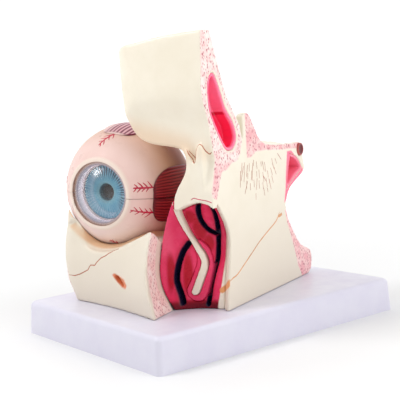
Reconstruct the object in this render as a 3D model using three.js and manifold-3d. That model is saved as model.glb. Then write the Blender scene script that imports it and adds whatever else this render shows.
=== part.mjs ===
// Eye anatomy model: an enlarged eyeball in a sectioned block of the face, on a flat base.
// Millimetres, +Z up. The origin is on the table, under the middle of the base. -Y is the front.
// The block of the face stands turned on the base. Its own axes are used for all of its pieces:
// lateral, away from the cut face along the middle of the head; back; and up.

import * as THREE from "three";
import { mergeVertices } from "three/addons/utils/BufferGeometryUtils.js";
import Module from "manifold-3d";

const wasm = await Module();
wasm.setup();

// Base
const baseLength = 200;
const baseWidth = 150;
const baseHeight = 22;
const baseCornerRadius = 3.8;
const baseDraft = 0.058;
const baseEdgeRound = 3.2;
const baseWall = 3.2;
const baseRib = 2.4;
const bossRadius = 5;

// Screws that hold the block of the face on the base
const screwRadius = 1.8;
const screwHeadRadius = 3.6;
const screwHeadHeight = 2.4;
const screwSeatHeight = 9;
const screwReach = 13;

// Clearances, and a length past every face of the model for cuts that go right through
const gap = 0.3;
const shellGap = 0.6;
const liftRoom = 1.2;
const beyond = 300;

// Where the block of the face stands on the base, and how far it is turned
const blockX = 59.4;
const blockY = -34;
const blockTurn = THREE.MathUtils.degToRad(20.42);
const blockBottom = baseHeight + gap;

// Eyeball: its middle in the block's axes, its sizes, and how far its front is turned toward the
// nose and down, in degrees
const eyeLateral = 86;
const eyeBack = 25.3;
const eyeHeight = 95.6;
const eyeRadius = 41.8;
const scleraWall = 3.6;
const choroidWall = 2.4;
const seamDrop = 1.8;
const seamTilt = THREE.MathUtils.degToRad(5);
const gazeInward = 1.6;
const gazeDown = 1;

// Cornea, its seat in the sclera and the sleeve behind the seat
const corneaSeatRadius = 20.6;
const corneaFlange = 1.6;
const corneaDomeRadius = 26;
const corneaWall = 1.4;
const corneaShoulder = 2;
const rimWidth = 1.9;
const rimProud = 0.7;
const sleeveWall = 1.8;

// Iris, lens and their seats. The iris lies some way behind the front of the cornea's rim.
const irisRadius = 17.6;
const irisThickness = 1.5;
const irisDepth = 10;
const irisCone = 0.5;
const pupilRadius = 5.6;
const irisLedge = 1.6;
const choroidFrontWall = 2.6;
const lensRadius = 14.2;
const lensFrontBulge = 4;
const lensBackBulge = 7.4;
const lensEdge = 0.8;

// Muscle stumps on the sclera, and the optic nerve. Angles are in degrees about the eye's middle.
const padThickness = 1.4;
const flatPadThickness = 0.8;
const padRib = 0.35;
const padEnd = 112;
const padRounding = 13;
const sidePad = { half: 25.5, ribs: 8, thickness: padThickness };
const topPad = { half: 19, ribs: 6, thickness: flatPadThickness };
const medialPlace = { middle: -6, from: 53.8 };
const lateralPlace = { middle: 174, from: 68 };
const superiorPlace = { middle: 82, from: 61.5 };
const inferiorPlace = { middle: -92, from: 61.5 };
const nerveRadius = 5;
const nerveLength = 15;

// Forehead, septum and the pieces beside the cut face
const foreheadTop = 192;
const septumThickness = 5;
const septumRound = 3.5;
const blockReach = 46;
const mucosaDepth = 18;
const liningHollow = 4;
const meatusWidth = 3;
const meatusDepth = 5;
const boneStripWidth = 4.4;
const boneStripWaist = 1.8;
const boneStripProud = 1.6;
const conchaProud = 0.9;
const conchaSeat = 5;
const boneStripSeat = 3;
const cranialFloorWidth = 26;

// How far from the cut face the maxilla's corner beside the nose falls away
const cornerReach = 54;

// How far back the cheek side of the nasal lining's face lies, and the maxilla's wall beside it
const liningSideBack = -8;
const noseWallBack = -8.6;

// Air sinuses and the nerve stump above the back one
const sinusWall = 1.6;
const frontalSinusDepth = 11;
const sphenoidSinusDepth = 12;
const chiasmRadius = 4.4;
const chiasmLength = 13;
const chiasmProud = 1;
const chiasmMiddle = { back: 112.4, up: 112 };

// Facets round a full turn
const eyeFacets = 32;
const boreFacets = 16;

const plastic = (color, roughness) => new THREE.MeshStandardMaterial({ color, roughness, metalness: 0 });
const lavender = plastic(0xdfdcea, 0.42);
const boneCream = plastic(0xeee4d0, 0.45);
const cutBone = plastic(0xf3e6d8, 0.5);
const mucosaPink = plastic(0xd22d52, 0.35);
const sinusPink = plastic(0xf0416b, 0.35);
const scleraSkin = plastic(0xdec0b4, 0.35);
const choroidBrown = plastic(0x7a3030, 0.5);
const muscleRed = plastic(0x7a1c24, 0.45);
const nerveYellow = plastic(0xe2c98c, 0.5);
const chiasmBrown = plastic(0x7c3a38, 0.5);
const irisBlue = plastic(0x5f96aa, 0.3);
const clear = new THREE.MeshStandardMaterial({
  color: 0xf2f6f8, roughness: 0.05, metalness: 0, transparent: true, opacity: 0.3,
});
const clearPink = new THREE.MeshStandardMaterial({
  color: 0xf0dfe0, roughness: 0.1, metalness: 0, transparent: true, opacity: 0.5,
});
const steel = new THREE.MeshStandardMaterial({ color: 0xa9adb2, roughness: 0.3, metalness: 0.9 });

// A closed mesh becomes a solid once its shared corners are merged and empty triangles are gone.
function solid(geometry) {
  const bare = geometry.clone();
  bare.deleteAttribute("normal");
  bare.deleteAttribute("uv");
  const merged = mergeVertices(bare, 1e-4);
  const corners = merged.index.array;
  const kept = [];
  for (let i = 0; i < corners.length; i += 3) {
    const [a, b, c] = [corners[i], corners[i + 1], corners[i + 2]];
    if (a !== b && b !== c && c !== a) kept.push(a, b, c);
  }
  return new wasm.Manifold(new wasm.Mesh({
    numProp: 3,
    vertProperties: new Float32Array(merged.attributes.position.array),
    triVerts: new Uint32Array(kept),
  }));
}

function geometryOf(body) {
  const mesh = body.getMesh();
  const geometry = new THREE.BufferGeometry();
  geometry.setAttribute("position", new THREE.BufferAttribute(new Float32Array(mesh.vertProperties), 3));
  geometry.setIndex(new THREE.BufferAttribute(new Uint32Array(mesh.triVerts), 1));
  return geometry;
}

// Straight runs and smooth runs of points, joined end to end into one outline. A run of two points
// is straight, and a longer run is a curve through its points.
function outline(...runs) {
  const points = [];
  for (const run of runs) {
    const knots = run.map(([a, b]) => new THREE.Vector2(a, b));
    const curve = new THREE.SplineCurve(knots);
    const steps = run.length === 2 ? 1 : (run.length - 1) * 2;
    points.push(...curve.getPoints(steps));
  }
  return points.filter((point, i) => point.distanceTo(points[(i + 1) % points.length]) > 0.05);
}

// How near a point comes to a closed outline.
function reach(point, points) {
  return Math.min(...points.map((start, i) => {
    const edge = points[(i + 1) % points.length].clone().sub(start);
    const share = THREE.MathUtils.clamp(point.clone().sub(start).dot(edge) / edge.lengthSq(), 0, 1);
    return point.distanceTo(start.clone().addScaledVector(edge, share));
  }));
}

// The same outline with each edge moved outward by a distance, or inward by a negative one. Points
// that would fold over where the outline is tight are left out.
function grown(points, distance) {
  const sign = THREE.ShapeUtils.area(points) > 0 ? 1 : -1;
  const moved = points.map((point, i) => {
    const before = points[(i + points.length - 1) % points.length];
    const after = points[(i + 1) % points.length];
    const first = point.clone().sub(before).normalize();
    const second = after.clone().sub(point).normalize();
    const normal = new THREE.Vector2(first.y + second.y, -first.x - second.x).normalize();
    const spread = Math.max(0.5, normal.dot(new THREE.Vector2(first.y, -first.x)));
    return point.clone().addScaledVector(normal, (sign * distance) / spread);
  });
  return moved.filter((point) => reach(point, points) >= Math.abs(distance) * 0.97);
}

function extrude(points, depth) {
  return new THREE.ExtrudeGeometry(new THREE.Shape(points), { depth, bevelEnabled: false, steps: 1 });
}

// An outline in (back, up), as the cut face shows it, made solid between two lateral distances.
function sideSlab(points, from, to) {
  const turn = new THREE.Matrix4().set(0, 0, 1, -to, 1, 0, 0, 0, 0, 1, 0, 0, 0, 0, 0, 1);
  return solid(extrude(points, to - from).applyMatrix4(turn));
}

// An outline in (lateral, up), as seen from the front, made solid between two distances back.
function frontSlab(points, from, to) {
  const flipped = points.map((point) => new THREE.Vector2(-point.x, point.y));
  const turn = new THREE.Matrix4().set(1, 0, 0, 0, 0, 0, -1, to, 0, 1, 0, 0, 0, 0, 0, 1);
  return solid(extrude(flipped, to - from).applyMatrix4(turn));
}

// An outline in (lateral, back), as seen from above, made solid between two heights.
function planSlab(points, from, to) {
  const flipped = points.map((point) => new THREE.Vector2(-point.x, point.y));
  return solid(extrude(flipped, to - from).translate(0, 0, from));
}

// A skin over rings of equally many points, closed at both ends.
function loft(rings) {
  const count = rings[0].length;
  const position = rings.flat().flatMap((point) => [point.x, point.y, point.z]);
  const index = [];
  for (let level = 0; level + 1 < rings.length; level += 1) {
    for (let i = 0; i < count; i += 1) {
      const a = level * count + i;
      const b = level * count + ((i + 1) % count);
      index.push(a, b, b + count, a, b + count, a + count);
    }
  }
  const cap = (level, reversed) => {
    const ring = rings[level];
    const normal = new THREE.Vector3();
    ring.forEach((point, i) => normal.add(point.clone().cross(ring[(i + 1) % count])));
    normal.normalize();
    const across = ring[1].clone().sub(ring[0]).normalize();
    const along = normal.clone().cross(across);
    const flat = ring.map((point) => new THREE.Vector2(point.dot(across), point.dot(along)));
    for (const [a, b, c] of THREE.ShapeUtils.triangulateShape(flat, [])) {
      const face = reversed ? [a, c, b] : [a, b, c];
      index.push(...face.map((i) => i + level * count));
    }
  };
  cap(0, true);
  cap(rings.length - 1, false);
  const geometry = new THREE.BufferGeometry();
  geometry.setAttribute("position", new THREE.Float32BufferAttribute(position, 3));
  geometry.setIndex(index);
  const body = solid(geometry);
  if (body.volume() > 0) return body;
  const turned = [];
  for (let i = 0; i < index.length; i += 3) turned.push(index[i], index[i + 2], index[i + 1]);
  geometry.setIndex(turned);
  return solid(geometry);
}

// A closed profile of (radius, forward) turned about the eye's axis, which points to the front.
function turned(profile, facets = eyeFacets) {
  const points = profile.map(([radius, forward]) => new THREE.Vector2(Math.max(radius, 0), forward));
  if (THREE.ShapeUtils.area(points) < 0) points.reverse();
  if (points[0].x > 0 || points[points.length - 1].x > 0) points.push(points[0].clone());
  return solid(new THREE.LatheGeometry(points, facets).rotateZ(Math.PI));
}

// An upright pin, screw or bore.
function upright(radius, from, to, x, y, facets = boreFacets) {
  const pin = new THREE.CylinderGeometry(radius, radius, to - from, facets).rotateX(Math.PI / 2);
  return solid(pin.translate(x, y, (from + to) / 2));
}

// Points of an arc about the eye's middle, from one angle to another, counted from the front.
function eyeArc(radius, from, to, steps) {
  return Array.from({ length: steps + 1 }, (_, i) => {
    const angle = from + ((to - from) * i) / steps;
    return [radius * Math.sin(angle), radius * Math.cos(angle)];
  });
}

const square = (value) => value * value;
const halfChord = (radius, forward) => Math.sqrt(square(radius) - square(forward));

// The path the eyeball needs when it is lifted straight out: a ball with an open shaft above it.
function liftPath(radius) {
  const ball = solid(new THREE.SphereGeometry(radius, eyeFacets, 20).rotateX(Math.PI / 2));
  const shaft = upright(radius, 0, beyond, 0, 0, eyeFacets);
  return ball.add(shaft).translate(-eyeLateral, eyeBack, eyeHeight);
}

// Base: drafted plinth with rounded top edge, open underneath, with ribs and screw bosses.
function plinthRing(inset, height) {
  const radius = baseCornerRadius;
  const halfX = baseWidth / 2 - inset - radius;
  const halfY = baseLength / 2 - inset - radius;
  const steps = 3;
  const ring = [];
  for (const [corner, signX, signY] of [[0, 1, 1], [1, -1, 1], [2, -1, -1], [3, 1, -1]]) {
    for (let i = 0; i <= steps; i += 1) {
      const angle = (corner + i / steps) * (Math.PI / 2);
      const x = signX * halfX + radius * Math.cos(angle);
      const y = signY * halfY + radius * Math.sin(angle);
      ring.push(new THREE.Vector3(x, y, height));
    }
  }
  return ring;
}

function plinth(inset, bottom, top, edgeRound) {
  const rings = [plinthRing(inset + baseDraft * bottom, bottom)];
  const steps = 3;
  for (let i = 0; i <= steps; i += 1) {
    const angle = (i / steps) * (Math.PI / 2);
    const height = top - edgeRound * (1 - Math.sin(angle));
    rings.push(plinthRing(inset + baseDraft * height + edgeRound * (1 - Math.cos(angle)), height));
  }
  return loft(rings);
}

// Screw places: two under the maxilla and two under the block beside the septum.
const screwPlaces = [[58, 6], [98, 22], [20, 36], [20, 72]];

function blockToBase(lateral, back) {
  const x = blockX - lateral * Math.cos(blockTurn) - back * Math.sin(blockTurn);
  const y = blockY - lateral * Math.sin(blockTurn) + back * Math.cos(blockTurn);
  return [x, y];
}

function makeBase() {
  const ceiling = baseHeight - baseWall;
  const ribTop = ceiling + baseWall / 2;
  const ribBottom = 2;
  let body = plinth(0, 0, baseHeight, baseEdgeRound);
  body = body.subtract(plinth(baseWall, -1, ceiling, baseEdgeRound / 2));
  const rib = (width, length) => {
    const bar = new THREE.BoxGeometry(width, length, ribTop - ribBottom);
    return solid(bar.translate(0, 0, (ribTop + ribBottom) / 2));
  };
  body = body.add(rib(baseRib, baseLength - 2 * baseWall));
  body = body.add(rib(baseWidth - 2 * baseWall, baseRib));
  for (const [lateral, back] of screwPlaces) {
    const [x, y] = blockToBase(lateral, back);
    body = body.add(upright(bossRadius, screwSeatHeight, ribTop, x, y));
  }
  for (const [lateral, back] of screwPlaces) {
    const [x, y] = blockToBase(lateral, back);
    body = body.subtract(upright(screwRadius + gap, 0, baseHeight + 1, x, y));
    body = body.subtract(upright(screwHeadRadius + 1, -1, screwSeatHeight, x, y));
  }
  return body;
}

function makeScrew(lateral, back) {
  const [x, y] = blockToBase(lateral, back);
  const seat = screwSeatHeight - gap;
  const head = upright(screwHeadRadius, seat - screwHeadHeight, seat, x, y);
  return head.add(upright(screwRadius, seat - 1, baseHeight + screwReach, x, y));
}

function withoutScrews(body) {
  let drilled = body;
  for (const [lateral, back] of screwPlaces) {
    const top = baseHeight + screwReach + gap;
    drilled = drilled.subtract(upright(screwRadius + gap, 0, top, -lateral, back));
  }
  return drilled;
}

// Heights on the forehead, as shares of the way from the brow to its top.
const browHeight = 150;
const foreheadAt = (share) => THREE.MathUtils.lerp(browHeight, foreheadTop, share);

// Outlines of the cut face along the middle of the head, in (back, up).
const frontalFront = [
  [-7, 115.7], [-9, 124], [-11, 134], [-14, 143], [-17, browHeight], [-18.6, foreheadAt(0.19)],
  [-17.2, foreheadAt(0.57)], [-15.8, foreheadTop],
];
const frontalBack = [
  [-5.5, foreheadTop], [2.4, foreheadAt(0.55)], [9.7, foreheadAt(0.15)], [19, 143], [26, 134.5],
  [28.6, 124], [29.2, 113.6],
];
const frontalSection = outline(frontalFront, [[-15.8, foreheadTop], [-5.5, foreheadTop]], frontalBack,
  [[29.2, 113.6], [-7, 115.7]]);
const nasalRise = [[-7.1, 91.6], [-4.1, 97.5], [0.2, 103], [5.8, 109.2], [13.8, 113.2]];
const nasalTop = [[13.4, 114.1], [-1.5, 118], [-2.4, 130]];
const nasalFront = [[-12, 130], [-8.6, 121.8], [-7, 115.7], [-10, 104.2], [-12.6, 97], [-12.3, 93.7]];
const nasalSection = outline(nasalFront, [[-12.3, 93.7], [-12, 84]], [[-12, 84], [-7.4, 84]],
  [[-7.4, 84], [-7.1, 91.6]], nasalRise, [[13.8, 113.2], [13.4, 114.1]], nasalTop,
  [[-2.4, 130], [-12, 130]]);

// The nasal bone beside the septum reaches farther back, over the edge of the lining.
const nasalSideSection = outline([[-14, 130], [-14, 84]], [[-14, 84], [4, 84]],
  [[4, 84], [5, 97], [13.8, 112.8]], [[13.8, 112.8], [13.4, 114.1]], nasalTop,
  [[-2.4, 130], [-14, 130]]);
const septumFront = [
  [-6.6, 90], [-1.9, 83.9], [4, 76], [7.2, 67.7], [6.6, 59.2], [3.4, 41.1], [0.1, blockBottom],
];
const palateEnd = [
  [119, blockBottom], [123.4, 25], [124.6, 31], [124, 37.4], [118, 41], [107.5, 45.2],
  [98, 54.8], [89.9, 65], [85.6, 76],
];
const sphenoidEnd = [
  [85.6, 76], [90.2, 83.7], [97, 88.4], [110.9, 93.4], [118, 96.6], [118.2, 102], [115.4, 110],
];
const cranialLine = [
  [115.4, 110], [113.4, 116.8], [104, 117], [86, 117.6], [66.4, 119], [55, 121.8], [48.6, 127.1],
];
const cristaLine = [[48.6, 127.1], [43.5, 134.4], [38.5, 140.4], [34, 141.6], [29.8, 140]];
const septumOutline = outline(septumFront, [[0.1, blockBottom], [119, blockBottom]], palateEnd, sphenoidEnd,
  cranialLine, cristaLine, [[29.8, 140], [29.8, 113.2]], [[29.8, 113.2], [13.8, 112.9]],
  nasalRise.map(([back, up]) => [back + gap, up - gap]).reverse(), [[-6.8, 91.3], [-6.6, 90]]);
const blockFace = mucosaDepth + gap;
const blockSection = outline([[6.8, 112.9], [blockFace, 97]], [[blockFace, 97], [blockFace, blockBottom]],
  [[blockFace, blockBottom], [119, blockBottom]], palateEnd, sphenoidEnd,
  [[115.4, 110], [114, 112.9]], [[114, 112.9], [6.8, 112.9]]);

// Air sinuses in the cut face, in (back, up).
const frontalSinus = outline([
  [-4.5, 167.3], [-8.6, 165], [-11, 159.4], [-11.4, 152.6], [-9.3, 142.6], [-2.4, 131.6],
  [5.4, 121.9], [10.4, 119.7], [16, 120.1], [20, 123.6], [21.5, 128.6], [17.9, 137.2], [9.3, 146.2],
  [3.5, 157.8], [-1.6, 166], [-4.5, 167.3],
]);
const sphenoidSinus = outline([
  [95.7, 110.6], [92.4, 103], [89.4, 94], [88.4, 86.2], [93.7, 88.6], [103, 93.6], [113.6, 97.6],
  [113.4, 101.4], [108, 106.6], [101.5, 109.4], [95.7, 110.6],
]);

// Outlines of the block as seen from the front, in (lateral, up).
const mucosaEdge = [
  [34.5, blockBottom], [38.6, 28], [42.3, 35], [44.2, 44], [43.4, 52], [40.6, 66], [37, 77.5],
  [32.6, 88.3], [27, 97],
];
const blockSide = septumThickness + gap;
const blockFront = outline([[blockSide, 112.9], [blockSide, blockBottom]],
  [[blockSide, blockBottom], [34.5, blockBottom]], [[34.5, blockBottom], ...mucosaEdge.slice(1)],
  [[27, 97], [24.6, 105], [24, 112.9]], [[24, 112.9], [blockSide, 112.9]]);
const orbitRim = [
  [18.4, 113.6], [18.6, 118.2], [21.4, 121.4], [26.8, 123.3], [33.6, 124.4], [41.2, 125.3],
  [48.4, 127.6], [52.6, 130.8], [55.2, 134.6], [57, 140.8], [58.4, 146.5], [60, foreheadAt(0.16)],
  [61.2, foreheadAt(0.405)], [61.6, foreheadAt(0.774)],
];
const frontalFace = outline([[0, foreheadTop], [0, 113.6]], [[0, 113.6], [18.4, 113.6]], orbitRim,
  [[61.6, foreheadAt(0.774)], [60.8, foreheadTop - 7], [57, foreheadTop - 5.5]],
  [[57, foreheadTop - 5.5], [44.7, foreheadTop - 4], [26, foreheadTop - 1.4], [0, foreheadTop]]);
const suture = [
  [-1, 121], [1.8, 119.8], [3.8, 121.8], [6.4, 125.2], [8.6, 124.9], [9.9, 121], [10.7, 115.4],
  [12.3, 114.6], [14.1, 117.2], [15.4, 120.6], [17.6, 122.6], [21.4, 121.4],
];
const noseSide = [
  [21.4, 121.4], [18.8, 118.4], [18.4, 113.6], [19.6, 109], [23, 104], [26.4, 99.4], [29.2, 94.2],
  [30.6, 89], [30.8, 85.6],
];
const apertureArch = [
  [30.8, 85.6], [28, 84.6], [25.1, 86.1], [17.6, 88.8], [10, 90.5], [5.4, 89.7], [1.4, 87.8], [-1, 86],
];
const nasalFace = outline(suture, noseSide, apertureArch, [[-1, 86], [-1, 121]]);

// The front of the nasal lining beside the septum, in (back, up): it starts where the rounded
// front of the septum ends.
const liningFront = [...septumFront.map(([back, up]) => [back + septumRound, up]).reverse(), [-5, 98]];

// Where a smooth line through rising points stands at a height.
function atHeight(knots, height) {
  const points = outline(knots);
  const next = Math.max(1, points.findIndex((point) => point.y >= height));
  const [below, above] = [points[next - 1], points[next]];
  return THREE.MathUtils.mapLinear(height, below.y, above.y, below.x, above.x);
}

// A volume behind the lining's front face. The face hollows between the septum and the cheek.
function liningVolume(forward, back) {
  const levels = 15;
  const columns = 8;
  const top = mucosaEdge[mucosaEdge.length - 1][1];
  const rings = [];
  for (let level = 0; level <= levels; level += 1) {
    const height = THREE.MathUtils.lerp(blockBottom, top - gap, level / levels);
    const front = atHeight(liningFront, height);
    const side = atHeight(mucosaEdge, height) - gap;
    const ring = [];
    for (let i = 0; i <= columns; i += 1) {
      const share = i / columns;
      const lateral = THREE.MathUtils.lerp(blockSide, side, share);
      const hollow = liningHollow * Math.sin(Math.PI * share);
      const face = THREE.MathUtils.lerp(front, liningSideBack, share) + hollow;
      ring.push(new THREE.Vector3(-lateral, face - forward, height));
    }
    ring.push(new THREE.Vector3(-side, back, height), new THREE.Vector3(-blockSide, back, height));
    rings.push(ring);
  }
  return loft(rings);
}

// What an outline in (lateral, up) holds of the lining, from a height over its face to a depth.
function liningLayer(points, proud, depth) {
  return frontSlab(points, -beyond, mucosaDepth).intersect(liningVolume(proud, mucosaDepth))
    .subtract(liningVolume(-depth, mucosaDepth + 1));
}

// A cut of the same shape that is open to the front.
function liningCut(points, depth) {
  const openFront = 30;
  return liningLayer(points, openFront, depth);
}

// A band with round ends along a curve in (lateral, up). Its width may change along the way.
function band(centre, widthAt) {
  const curve = new THREE.SplineCurve(centre.map(([lateral, up]) => new THREE.Vector2(lateral, up)));
  const steps = centre.length * 2;
  const left = [];
  const right = [];
  for (let i = 0; i <= steps; i += 1) {
    const point = curve.getPoint(i / steps);
    const tangent = curve.getTangent(i / steps);
    const side = new THREE.Vector2(-tangent.y, tangent.x).multiplyScalar(widthAt(i / steps) / 2);
    left.push(point.clone().add(side));
    right.push(point.clone().sub(side));
  }
  const cap = (middle, from) => [1, 2, 3].map((i) => from.clone().sub(middle)
    .rotateAround(new THREE.Vector2(), -(i * Math.PI) / 4).add(middle));
  const endCap = cap(curve.getPoint(1), left[steps]);
  const startCap = cap(curve.getPoint(0), right[0]);
  return [...left, ...endCap, ...right.reverse(), ...startCap];
}

// The bone strip narrows where it bends, and then lies along the middle of the concha.
const stripBends = [
  [29, 88.4], [28.9, 83.8], [28.3, 77.2], [27, 70.5], [25, 65.2], [22.1, 59.3], [19.2, 54.2],
  [18.3, 50.5], [19.3, 46.2], [21.7, 39.4], [24, 32.6],
];
const stripWidth = (share) => boneStripWidth - boneStripWaist * Math.exp(-square((share - 0.36) / 0.16));
const boneStrip = band(stripBends, stripWidth);
const conchaOutline = outline([
  [22.6, 65.5], [17.3, 60.9], [14.9, 56.6], [13.6, 51], [13.7, 45.5], [16.6, 32.5], [19.4, 27.5],
  [22.9, 26.7], [26.1, 28], [28.5, 30.9], [29.1, 34.5], [27.1, 39.4], [23.5, 49.8], [23.2, 54],
  [24.6, 60.4], [22.6, 65.5],
]);

// Middle lines of the three air passages, in (lateral, up).
const passages = [
  [[16.8, 88.9], [18.5, 84.3], [18.9, 79], [17.7, 74.3], [15.3, 70.9], [12, 69]],
  [[8.4, 87.2], [8.1, 83.1], [8.8, 77.6], [9.7, 70.9], [10.2, 64.5], [10.3, 58.3], [10.6, 53.4],
    [11.8, 48.4], [13.3, 42.9], [14.6, 36.7], [15.4, 30.5], [16.3, 24.8]],
  [[27.5, 63.2], [30.4, 58.9], [32.2, 54.6], [33.8, 49.6], [34.9, 43.3], [34.8, 39], [33.7, 35.2],
    [32.1, 30.9], [30.6, 26]],
].map((middle) => band(middle, () => meatusWidth));

function makeNasalBone(clearance) {
  const reachOut = 36;
  const middle = sideSlab(grown(nasalSection, clearance), -clearance, blockSide + 1);
  const side = sideSlab(grown(nasalSideSection, clearance), blockSide - clearance, reachOut);
  const face = frontSlab(grown(nasalFace, clearance), -beyond, beyond);
  const bridge = planSlab(grown(outline(
    [[-2, -13.4], [8, -13.2], [16, -11.6], [24, -9], [reachOut, -7]],
    [[reachOut, -7], [reachOut, 13.9]], [[reachOut, 13.9], [-2, 13.9]], [[-2, 13.9], [-2, -13.4]],
  ), clearance), 0, beyond);
  return middle.add(side).intersect(face).intersect(bridge);
}

// What is cut off the septum's front, so that it rounds away from the cut face to the lining.
function septumRounding() {
  const levels = 10;
  const columns = 5;
  const top = septumFront[0][1];
  const front = [...septumFront].reverse();
  const rings = [];
  for (let level = 0; level <= levels; level += 1) {
    const height = THREE.MathUtils.lerp(blockBottom, top, level / levels);
    const edge = atHeight(front, height);
    const ring = [new THREE.Vector3(1, edge - septumRound * 4, height), new THREE.Vector3(1, edge, height)];
    for (let i = 1; i <= columns + 1; i += 1) {
      const share = i / columns;
      ring.push(new THREE.Vector3(-septumThickness * share, edge + septumRound * square(share), height));
    }
    ring.push(new THREE.Vector3(-septumThickness - 1, edge - septumRound * 4, height));
    rings.push(ring);
  }
  return loft(rings);
}

// Cup that lines an air sinus: a pink wall that follows the hollow's outline.
function sinusCup(points, depth) {
  const shell = sideSlab(grown(points, -gap), gap, depth - gap);
  const inside = sideSlab(grown(points, -gap - sinusWall), -1, depth - gap - sinusWall);
  return shell.subtract(inside);
}

// Forehead as seen from above: its front curves back toward the temple, and its back follows the
// orbit.
const foreheadPlan = outline(
  [[-2, -20], [24, -20.4], [44, -18.6], [56, -15.4], [61.6, -11.6]], [[61.6, -11.6], [61.6, -5]],
  [[61.6, -5], [44, -5]], [[44, -5], [36, 2], [35, 30]], [[35, 30], [-2, 30]], [[-2, 30], [-2, -20]],
);

function makeFrontalBone() {
  const section = sideSlab(frontalSection, 0, beyond);
  const face = frontSlab(frontalFace, -beyond, beyond);
  let body = section.intersect(face).intersect(planSlab(foreheadPlan, 0, beyond));
  body = body.subtract(liftPath(eyeRadius + liftRoom));
  body = body.subtract(makeNasalBone(gap));
  return largest(body.subtract(sideSlab(frontalSinus, -1, frontalSinusDepth)));
}

function makeNasalMucosa() {
  let body = liningVolume(0, mucosaDepth).subtract(makeNasalBone(gap));
  body = body.subtract(liningCut(grown(conchaOutline, gap), conchaSeat + gap));
  body = body.subtract(liningCut(grown(boneStrip, gap), boneStripSeat + gap));
  for (const passage of passages) body = body.subtract(liningCut(passage, meatusDepth));
  return largest(body);
}

// The largest of the bodies that a cut has left.
function largest(body) {
  const bodies = body.decompose();
  return bodies.reduce((best, next) => (next.volume() > best.volume() ? next : best));
}

function makeConchaBone() {
  return largest(liningLayer(boneStrip, boneStripProud, boneStripSeat).subtract(makeNasalBone(gap)));
}

function makeInferiorConcha() {
  const scroll = liningLayer(conchaOutline, conchaProud, conchaSeat);
  return largest(scroll.subtract(liningCut(grown(boneStrip, gap), boneStripSeat + gap)));
}

// Body of the block beside the septum: what the cut face, the front and the plan outlines share.
function makeEthmoidBlock() {
  const plan = planSlab(outline(
    [[blockSide, 0], [blockReach, 0]],
    [[blockReach, 0], [44, 40], [36, 66], [28, 84], [24, 100], [17, 124.7]],
    [[17, 124.7], [blockSide, 124.7]], [[blockSide, 124.7], [blockSide, 0]],
  ), 0, beyond);
  const front = frontSlab(blockFront, 0, beyond);
  let body = sideSlab(blockSection, blockSide, blockReach).intersect(front).intersect(plan);
  body = body.subtract(liftPath(eyeRadius + 2 * padThickness));
  body = body.subtract(makeNasalBone(gap));
  body = body.subtract(sideSlab(sphenoidSinus, 0, sphenoidSinusDepth));
  body = body.subtract(chiasmBody(gap));
  return withoutScrews(largest(body));
}

// The nerve stump stands a little proud of the cut face.
function chiasmBody(clearance) {
  const radius = chiasmRadius + clearance;
  const length = chiasmLength + 2 * clearance;
  const stump = new THREE.CylinderGeometry(radius, radius, length, boreFacets).rotateZ(Math.PI / 2);
  return solid(stump.translate(chiasmProud - chiasmLength / 2, chiasmMiddle.back, chiasmMiddle.up));
}

function makeSeptumPlate() {
  let body = sideSlab(septumOutline, 0, septumThickness).subtract(septumRounding());
  body = body.subtract(sideSlab(sphenoidSinus, -1, septumThickness + 1));
  body = body.subtract(chiasmBody(gap));
  return withoutScrews(body);
}

// Floor of the skull over the nasal cavity: a tray that rises toward the orbit.
function makeCranialFloor() {
  const start = 29.6;
  const end = 106;
  const side = cranialFloorWidth;
  const tray = outline([[blockSide, 113.2], [side, 113.2]], [[side, 113.2], [side, 123]],
    [[side, 123], [side * 0.77, 119.6], [side * 0.46, 117.2], [blockSide, 116.6]]);
  const plan = outline([[0, start], [side, start]],
    [[side, start], [side, 70], [side * 0.85, 92], [side * 0.6, end]],
    [[side * 0.6, end], [0, end]], [[0, end], [0, start]]);
  return frontSlab(tray, start, end).intersect(planSlab(plan, 0, beyond));
}

// Maxilla: rings of the block's outline in (lateral, back), from the base up to the horn.
const maxillaRings = [
  [blockBottom, [[32, -34.5], [45, -28], [60, -21.4], [75, -15.2], [90, -10.4], [104, -6.2],
    [115, -3], [119.5, 8], [118, 26], [110, 46], [94, 60], [70, 66], [47, 62], [45.5, 34], [44, 4],
    [34.5, -8.5]]],
  [36, [[36, -33.6], [47, -28], [61, -21.4], [75, -15.8], [90, -11], [106, -6.4], [121, -3.4],
    [124.5, 9], [121.5, 27], [112, 47], [94, 61], [70, 67], [49, 63], [48, 34], [46.5, 5],
    [42.6, -8.4]]],
  [50, [[38, -32], [48, -26.6], [61, -20.6], [75, -16], [90, -11.4], [107, -6.8], [122.4, -3.4],
    [126, 9], [122, 27], [112, 47], [94, 61], [70, 67], [49, 63], [48, 34], [47, 5], [43.6, -8.4]]],
  [62, [[37, -30.4], [47, -24.6], [60, -19], [75, -15.6], [90, -11.2], [107, -6.4], [121.8, -2.8],
    [125, 9], [121, 26], [111, 45], [93, 58], [70, 64], [50, 60], [47, 34], [46, 5], [41.6, -8.6]]],
  [76, [[34, -28.4], [44, -22.4], [57, -17.6], [74, -14.4], [90, -11.4], [105, -8.4], [116.4, -5],
    [120.6, 8], [118, 24], [108, 42], [91, 54], [70, 60], [51, 57], [44, 34], [42, 5], [37, -9]]],
  [90, [[32, -26], [42, -20], [56, -16], [74, -13], [89, -11], [102, -9], [113, -7], [117, 6],
    [114, 23], [104, 39], [90, 50], [70, 56], [51, 53], [43, 34], [40, 5], [34, -9]]],
];

// The maxilla's top edge as seen from the front: high at the nose, low under the eye, and rising
// to the horn at the temple.
const infraorbitalRim = [
  [30, 76.4], [34.4, 75.8], [47.3, 70.4], [56.8, 66.5], [67, 62.4], [74.5, 59.3], [82.5, 58],
  [91.4, 57.7], [99.3, 60], [104.5, 66.3], [107.6, 75], [110, 81], [113.4, 85.4], [118, 84],
  [126, 76],
];

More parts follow.
